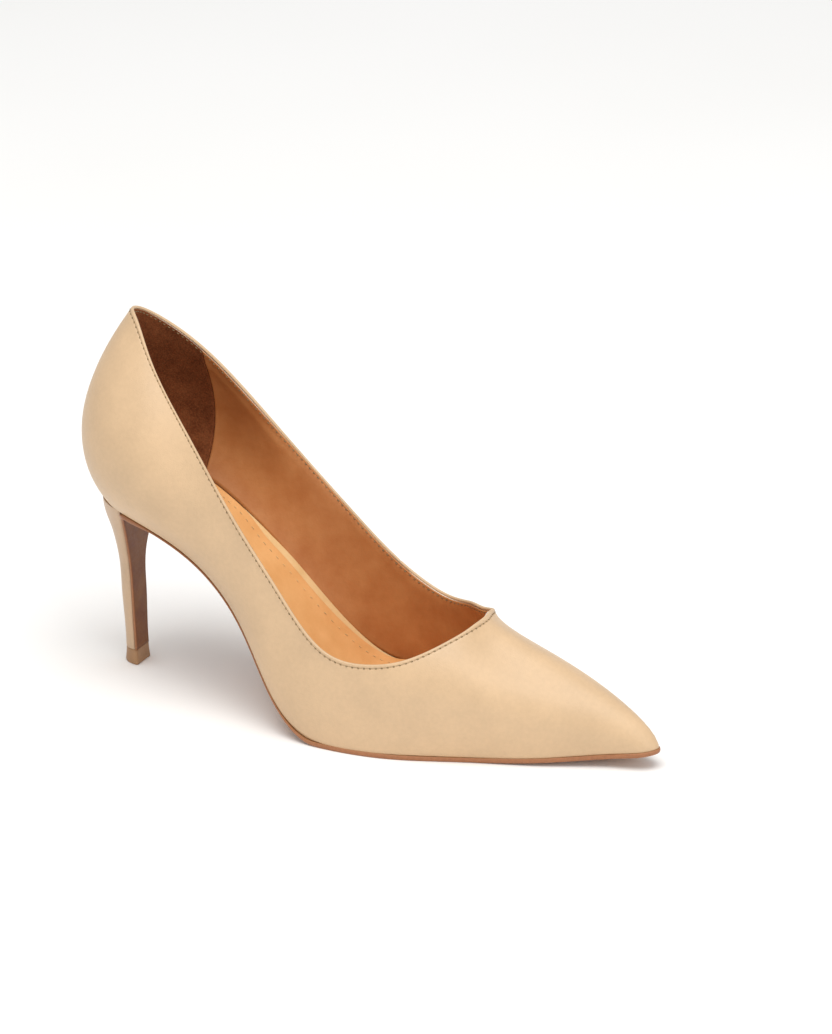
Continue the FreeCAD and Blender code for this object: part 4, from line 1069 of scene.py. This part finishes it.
def granular(name, low, high, size, depth):
    """Cork, fibreboard and foam: grains or cells of their real size in two tones, matt."""
    material, tree, shader, place = new_material(name, Roughness=0.9)
    cells = add(tree, "ShaderNodeTexVoronoi", {"Vector": place, "Scale": per_mm(size)})
    bump = add(tree, "ShaderNodeBump", {"Height": cells, "Distance": depth * MM, "Strength": 1.0})
    tone = two_tones(tree, cells.outputs["Color"], linear(low), linear(high), 0.15, 0.85)
    connect(tree, shader, {"Base Color": tone, "Normal": bump})
    return material


def woven(name, low, high, pitch):
    """Nylon tape in plain weave: two crossed waves at the thread spacing, with painted shade where the
    threads dip between crossings.
    """
    material, tree, shader, place = new_material(name, Roughness=0.8)
    warp, weft = (add(tree, "ShaderNodeTexWave", {"Vector": place, "Scale": per_mm(pitch) / WAVES_PER_UNIT},
                      bands_direction=way).outputs["Fac"] for way in ("X", "Z"))
    weave = add(tree, "ShaderNodeMath", {0: warp, 1: weft}, operation="MULTIPLY")
    bump = add(tree, "ShaderNodeBump", {"Height": weave, "Distance": 0.08 * MM, "Strength": 1.0})
    # Painted shade: the lower tone E9E6DE falls where the crossed waves dip between the threads.
    tone = two_tones(tree, weave, linear(low), linear(high))
    connect(tree, shader, {"Base Color": tone, "Normal": bump})
    return material


def steel(name, hex_colour, rough):
    """Cold rolled steel, zinc plated: grey with the fine lines of the rolls and duller patches."""
    material, tree, shader, place = new_material(name, Metallic=1.0)
    colour = linear(hex_colour)
    lines = add(tree, "ShaderNodeMapping", {"Vector": place, "Scale": ROLL_LINES})
    rolled = add(tree, "ShaderNodeTexNoise", {"Vector": lines, "Scale": 1.0, "Detail": 2.0})
    plating = add(tree, "ShaderNodeMapRange", {"Value": rolled, "From Min": 0.3, "From Max": 0.7,
                                               "To Min": rough - 0.06, "To Max": rough + 0.1})
    bump = add(tree, "ShaderNodeBump", {"Height": rolled, "Distance": 0.01 * MM, "Strength": 1.0})
    tone = two_tones(tree, rolled, shifted(colour, -0.15), colour)
    connect(tree, shader, {"Base Color": tone, "Roughness": plating, "Normal": bump})
    return material


# ---- the user's sizes and colours -------------------------------------------------------------------
def colour_property(name, description, hex_colour):
    return bpy.props.FloatVectorProperty(name=name, description=description, subtype="COLOR", size=4,
                                         min=0.0, max=1.0, default=linear(hex_colour))


class PumpColours(bpy.types.PropertyGroup):
    """Colours of the leathers and threads."""
    upper: colour_property("Upper", "Colour of the upper leather", "D2B28C")
    heel: colour_property("Heel", "Colour of the leather round the heel", "C6A787")
    lining_low: colour_property("Lining, dark", "Darker tone of the forepart lining", "B2713F")
    lining_high: colour_property("Lining, light", "Lighter tone of the forepart lining", "C08350")
    sock_low: colour_property("Sock, dark", "Darker tone of the sock", "DBA062")
    sock_high: colour_property("Sock, light", "Lighter tone of the sock", "E6AD70")
    thread: colour_property("Thread", "Colour of the topline thread", "8F7650")


def length_property(name, description, millimetres):
    return bpy.props.FloatProperty(name=name, description=description, default=millimetres * MM,
                                   min=0.1 * MM, max=20 * MM, precision=5, unit="LENGTH")


class PumpSizes(bpy.types.PropertyGroup):
    """Sizes of the threads."""
    stitch_length: length_property("Topline stitch length", "Length of thread that shows in a stitch", 1.15)
    stitch_width: length_property("Topline thread width", "Width of the topline thread", 0.42)
    sock_length: length_property("Sock stitch length", "Length of thread that shows in a sock stitch", 1.7)
    sock_width: length_property("Sock thread width", "Width of the sock's thread", 0.4)
    sock_pitch: length_property("Sock stitch pitch", "From one stitch of the sock to the next", 2.6)


class PumpStage(bpy.types.PropertyGroup):
    """The camera and the lights."""
    azimuth: bpy.props.FloatProperty(name="Camera azimuth", subtype="ANGLE", default=math.radians(27.0),
                                     description="Angle round the shoe from its outer side")
    elevation: bpy.props.FloatProperty(name="Camera elevation", description="Angle over the floor",
                                       default=math.radians(23.5), subtype="ANGLE")
    distance: bpy.props.FloatProperty(name="Camera distance", description="From the camera to the shoe",
                                      default=2.9, unit="LENGTH")
    lens: bpy.props.FloatProperty(name="Lens", description="Focal length on a 36 mm sensor", default=274.4)
    key: bpy.props.FloatProperty(name="Key light", description="Power of the large soft light", default=19.0)
    fill: bpy.props.FloatProperty(name="Fill light", default=5.0,
                                  description="Power of the light from the toe")
    sky: bpy.props.FloatProperty(name="Surround", description="Strength of the white surround", default=0.6)


# ---- operators --------------------------------------------------------------------------------------
class PUMP_OT_upper(bpy.types.Operator):
    """Builds the upper in one piece of nappa, lasted, with its rolled topline edge"""
    bl_idname = "pump.upper"
    bl_label = "Upper"

    def execute(self, context):
        material = nappa("lambskin_nappa_polished", tuple(context.scene.pump_colours.upper), stitched=True)
        finish_piece(build_upper(), material, "upper_leather", "upper")
        return {"FINISHED"}


class PUMP_OT_topline_stitches(bpy.types.Operator):
    """Sews the row of stitches round the topline"""
    bl_idname = "pump.topline_stitches"
    bl_label = "Topline stitches"

    def execute(self, context):
        sizes = context.scene.pump_sizes
        material = thread("polyester_thread_bonded", tuple(context.scene.pump_colours.thread))
        stitches = build_topline_stitches(sizes.stitch_length / MM, sizes.stitch_width / MM)
        finish_piece(stitches, material, "thread", "topline_stitching")
        return {"FINISHED"}


class PUMP_OT_linings(bpy.types.Operator):
    """Builds the forepart lining in glazed leather and the heel lining in suede"""
    bl_idname = "pump.linings"
    bl_label = "Linings"

    def execute(self, context):
        colours = context.scene.pump_colours
        forepart = build_lining("forepart_lining_leather", LINING_SPLIT_OUT + 0.1, LINING_SPLIT_IN - 0.1, 620)
        tan = lining_calf("lining_leather_glazed", tuple(colours.lining_low), tuple(colours.lining_high))
        finish_piece(forepart, tan, "lining_leather", "forepart_lining")
        heel = build_lining("heel_lining_suede", LINING_SPLIT_IN, LINING_SPLIT_OUT + WALL.around, 150)
        finish_piece(heel, suede_nap("pigskin_suede_buffed"), "suede", "heel_lining")
        return {"FINISHED"}


class PUMP_OT_insole_cover(bpy.types.Operator):
    """Lays the thin pale cover over the insole"""
    bl_idname = "pump.insole_cover"
    bl_label = "Insole cover"

    def execute(self, context):
        material = lining_calf("insole_cover_leather_natural", linear("DCB67E"), linear("E6C491"), 0.55)
        finish_piece(build_insole_cover(), material, "cover_leather", "insole_cover")
        return {"FINISHED"}


class PUMP_OT_sock(bpy.types.Operator):
    """Lays the sock over the heel cushion and sews its row of thread"""
    bl_idname = "pump.sock"
    bl_label = "Sock and its stitches"

    def execute(self, context):
        colours, sizes = context.scene.pump_colours, context.scene.pump_sizes
        material = lining_calf("sock_leather_glazed", tuple(colours.sock_low), tuple(colours.sock_high), 0.52)
        sock = finish_piece(build_sock(), material, "sock_leather", "sock")
        stitches = build_sock_stitches(sizes.sock_length / MM, sizes.sock_width / MM, sizes.sock_pitch / MM)
        cotton = thread("sock_thread_cotton", linear("E0B77C"))
        finish_piece(stitches, cotton, "sock_thread", "sock_stitching")
        return {"FINISHED"}


class PUMP_OT_outsole(bpy.types.Operator):
    """Builds the leather sole with its flap up the heel's breast"""
    bl_idname = "pump.outsole"
    bl_label = "Outsole"

    def execute(self, context):
        finish_piece(build_outsole(), sole_leather(), "sole_leather", "outsole")
        return {"FINISHED"}


class PUMP_OT_heel(bpy.types.Operator):
    """Covers the heel in leather and sets the top piece under it"""
    bl_idname = "pump.heel"
    bl_label = "Heel cover and top piece"

    def execute(self, context):
        cover = nappa("heel_cover_nappa", tuple(context.scene.pump_colours.heel))
        finish_piece(build_heel_cover(), cover, "heel_leather", "heel_cover")
        moulding = moulded("polyurethane_moulded", "98704A", "A67E58", 0.42, 2.0, 0.04)
        finish_piece(build_top_piece(), moulding, "top_piece_polyurethane", "top_piece")
        return {"FINISHED"}


class PUMP_OT_inner_pieces(bpy.types.Operator):
    """Gives the pieces inside the shoe their materials"""
    bl_idname = "pump.inner_pieces"
    bl_label = "Inner pieces"

    def execute(self, context):
        tape = woven("nylon_tape_woven", "E9E6DE", "F7F5F0", 0.5)
        stiffener = granular("stiffener_nonwoven", "D8D2C2", "F0ECE0", 0.6, 0.08)
        board = granular("fibreboard_pressed", "8A7358", "B49A78", 0.8, 0.08)
        foam = granular("latex_foam_cellular", "E8DFC4", "F6F0DC", 0.7, 0.2)
        cork = granular("cork_granulated", "8C6238", "C39A63", 1.6, 0.2)
        shank = steel("spring_steel_zinc_plated", "A7A9AC", 0.34)
        finishes = {
            tape: ("side_seam_tape", "topline_tape"),
            stiffener: ("heel_counter", "toe_puff"),
            board: ("insole_board", "shank_board"),
            foam: ("ball_cushion", "heel_cushion"),
            cork: ("bottom_filler",),
            shank: ("steel_shank", "shank_rivets", "heel_steel_tube", "top_piece_pin", "heel_screw",
                    "heel_nails"),
            moulded("abs_moulded_white", "E6E2D8", "F0EDE4", 0.45): ("heel_core",),
        }
        for material, nodes in finishes.items():
            for node in nodes:
                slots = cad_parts[node].data.materials
                slots.clear()
                slots.append(material)
        return {"FINISHED"}


def soft_light(name, place, target, size, power, colour):
    """A square area light at a place, turned to its target."""
    light = bpy.data.lights.new(name, "AREA")
    light.shape, light.size, light.size_y = "RECTANGLE", size[0], size[1]
    light.energy, light.color = power, colour
    lamp = bpy.data.objects.new(name, light)
    lamp.location = place
    aim = mathutils.Vector(target) - mathutils.Vector(place)
    lamp.rotation_euler = aim.to_track_quat("-Z", "Y").to_euler()
    bpy.context.scene.collection.objects.link(lamp)
    return lamp


class PUMP_OT_stage(bpy.types.Operator):
    """Sets the pale floor, the soft lights and the camera"""
    bl_idname = "pump.stage"
    bl_label = "Stage"

    def execute(self, context):
        scene, stage = context.scene, context.scene.pump_stage
        half = 4.0
        mesh = bpy.data.meshes.new("floor")
        corners = [(-half, -half, 0), (half, -half, 0), (half, half, 0), (-half, half, 0)]
        mesh.from_pydata(corners, [], [(0, 1, 2, 3)])
        floor = bpy.data.objects.new("floor", mesh)
        scene.collection.objects.link(floor)
        paper, tree, shader, place = new_material("studio_paper_white", Roughness=0.9, Specular_IOR_Level=0.1)
        clouds = add(tree, "ShaderNodeTexNoise", {"Vector": place, "Scale": per_mm(300.0), "Detail": 2.0})
        tone = two_tones(tree, clouds, linear("F8F8F7"), linear("FBFBFB"))
        connect(tree, shader, {"Base Color": tone})
        mesh.materials.append(paper)
        world = bpy.data.worlds.new("white_surround")
        world.use_nodes = True
        world.node_tree.nodes["Background"].inputs["Color"].default_value = linear("FFFFFF")
        world.node_tree.nodes["Background"].inputs["Strength"].default_value = stage.sky
        scene.world = world
        low, high = CAD_BOX
        middle = (low + high) / 2
        soft_light("key_overhead", (0.15, -0.35, 1.5), middle, (1.5, 1.1), stage.key, (1.0, 0.985, 0.96))
        soft_light("fill_from_toe", (1.5, -0.7, 0.7), middle, (0.9, 0.9), stage.fill, (1.0, 0.98, 0.95))
        camera_data = bpy.data.cameras.new("camera")
        camera_data.lens, camera_data.sensor_width, camera_data.sensor_fit = stage.lens, 36.0, "AUTO"
        camera_data.clip_start, camera_data.clip_end = 0.1, 50.0
        camera = bpy.data.objects.new("camera", camera_data)
        scene.collection.objects.link(camera)
        a, e = stage.azimuth, stage.elevation
        back = mathutils.Vector((math.sin(a) * math.cos(e), -math.cos(a) * math.cos(e), math.sin(e)))
        right = mathutils.Vector((math.cos(a), math.sin(a), 0.0))
        up = back.cross(right)
        aim = mathutils.Vector((TO_FRAME + AIM_POINT) * MM) + right * AIM_RIGHT * MM + up * AIM_UP * MM
        camera.location = aim + back * stage.distance
        camera.rotation_euler = back.to_track_quat("Z", "Y").to_euler()
        scene.camera = camera
        scene.view_settings.view_transform = "Standard"
        return {"FINISHED"}


class PUMP_PT_panel(bpy.types.Panel):
    """Sidebar list of the steps and of what can be changed"""
    bl_idname = "PUMP_PT_panel"
    bl_label = "High heel pump"
    bl_space_type = "VIEW_3D"
    bl_region_type = "UI"
    bl_category = "Pump"

    def draw(self, context):
        for step in STEPS:
            self.layout.operator(step.bl_idname)
        for group in (context.scene.pump_colours, context.scene.pump_sizes, context.scene.pump_stage):
            for name in group.__annotations__:
                self.layout.prop(group, name)


# The point that the camera looks past, and how far the picture's middle lies from it, millimetres.
AIM_POINT = np.array([97.0, 0.0, 60.0])
AIM_RIGHT, AIM_UP = 18.1, 16.0

STEPS = (PUMP_OT_stage, PUMP_OT_upper, PUMP_OT_topline_stitches, PUMP_OT_linings, PUMP_OT_insole_cover,
         PUMP_OT_sock, PUMP_OT_outsole, PUMP_OT_heel, PUMP_OT_inner_pieces)
CLASSES = (PumpColours, PumpSizes, PumpStage, *STEPS, PUMP_PT_panel)


def register():
    for cls in CLASSES:
        bpy.utils.register_class(cls)
    bpy.types.Scene.pump_colours = bpy.props.PointerProperty(type=PumpColours)
    bpy.types.Scene.pump_sizes = bpy.props.PointerProperty(type=PumpSizes)
    bpy.types.Scene.pump_stage = bpy.props.PointerProperty(type=PumpStage)


def unregister():
    del bpy.types.Scene.pump_stage
    del bpy.types.Scene.pump_sizes
    del bpy.types.Scene.pump_colours
    for cls in reversed(CLASSES):
        bpy.utils.unregister_class(cls)


def main():
    """Builds every piece in order."""
    register()
    for step in STEPS:
        group, name = step.bl_idname.split(".")
        getattr(getattr(bpy.ops, group), name)()


if __name__ == "__main__":
    main()
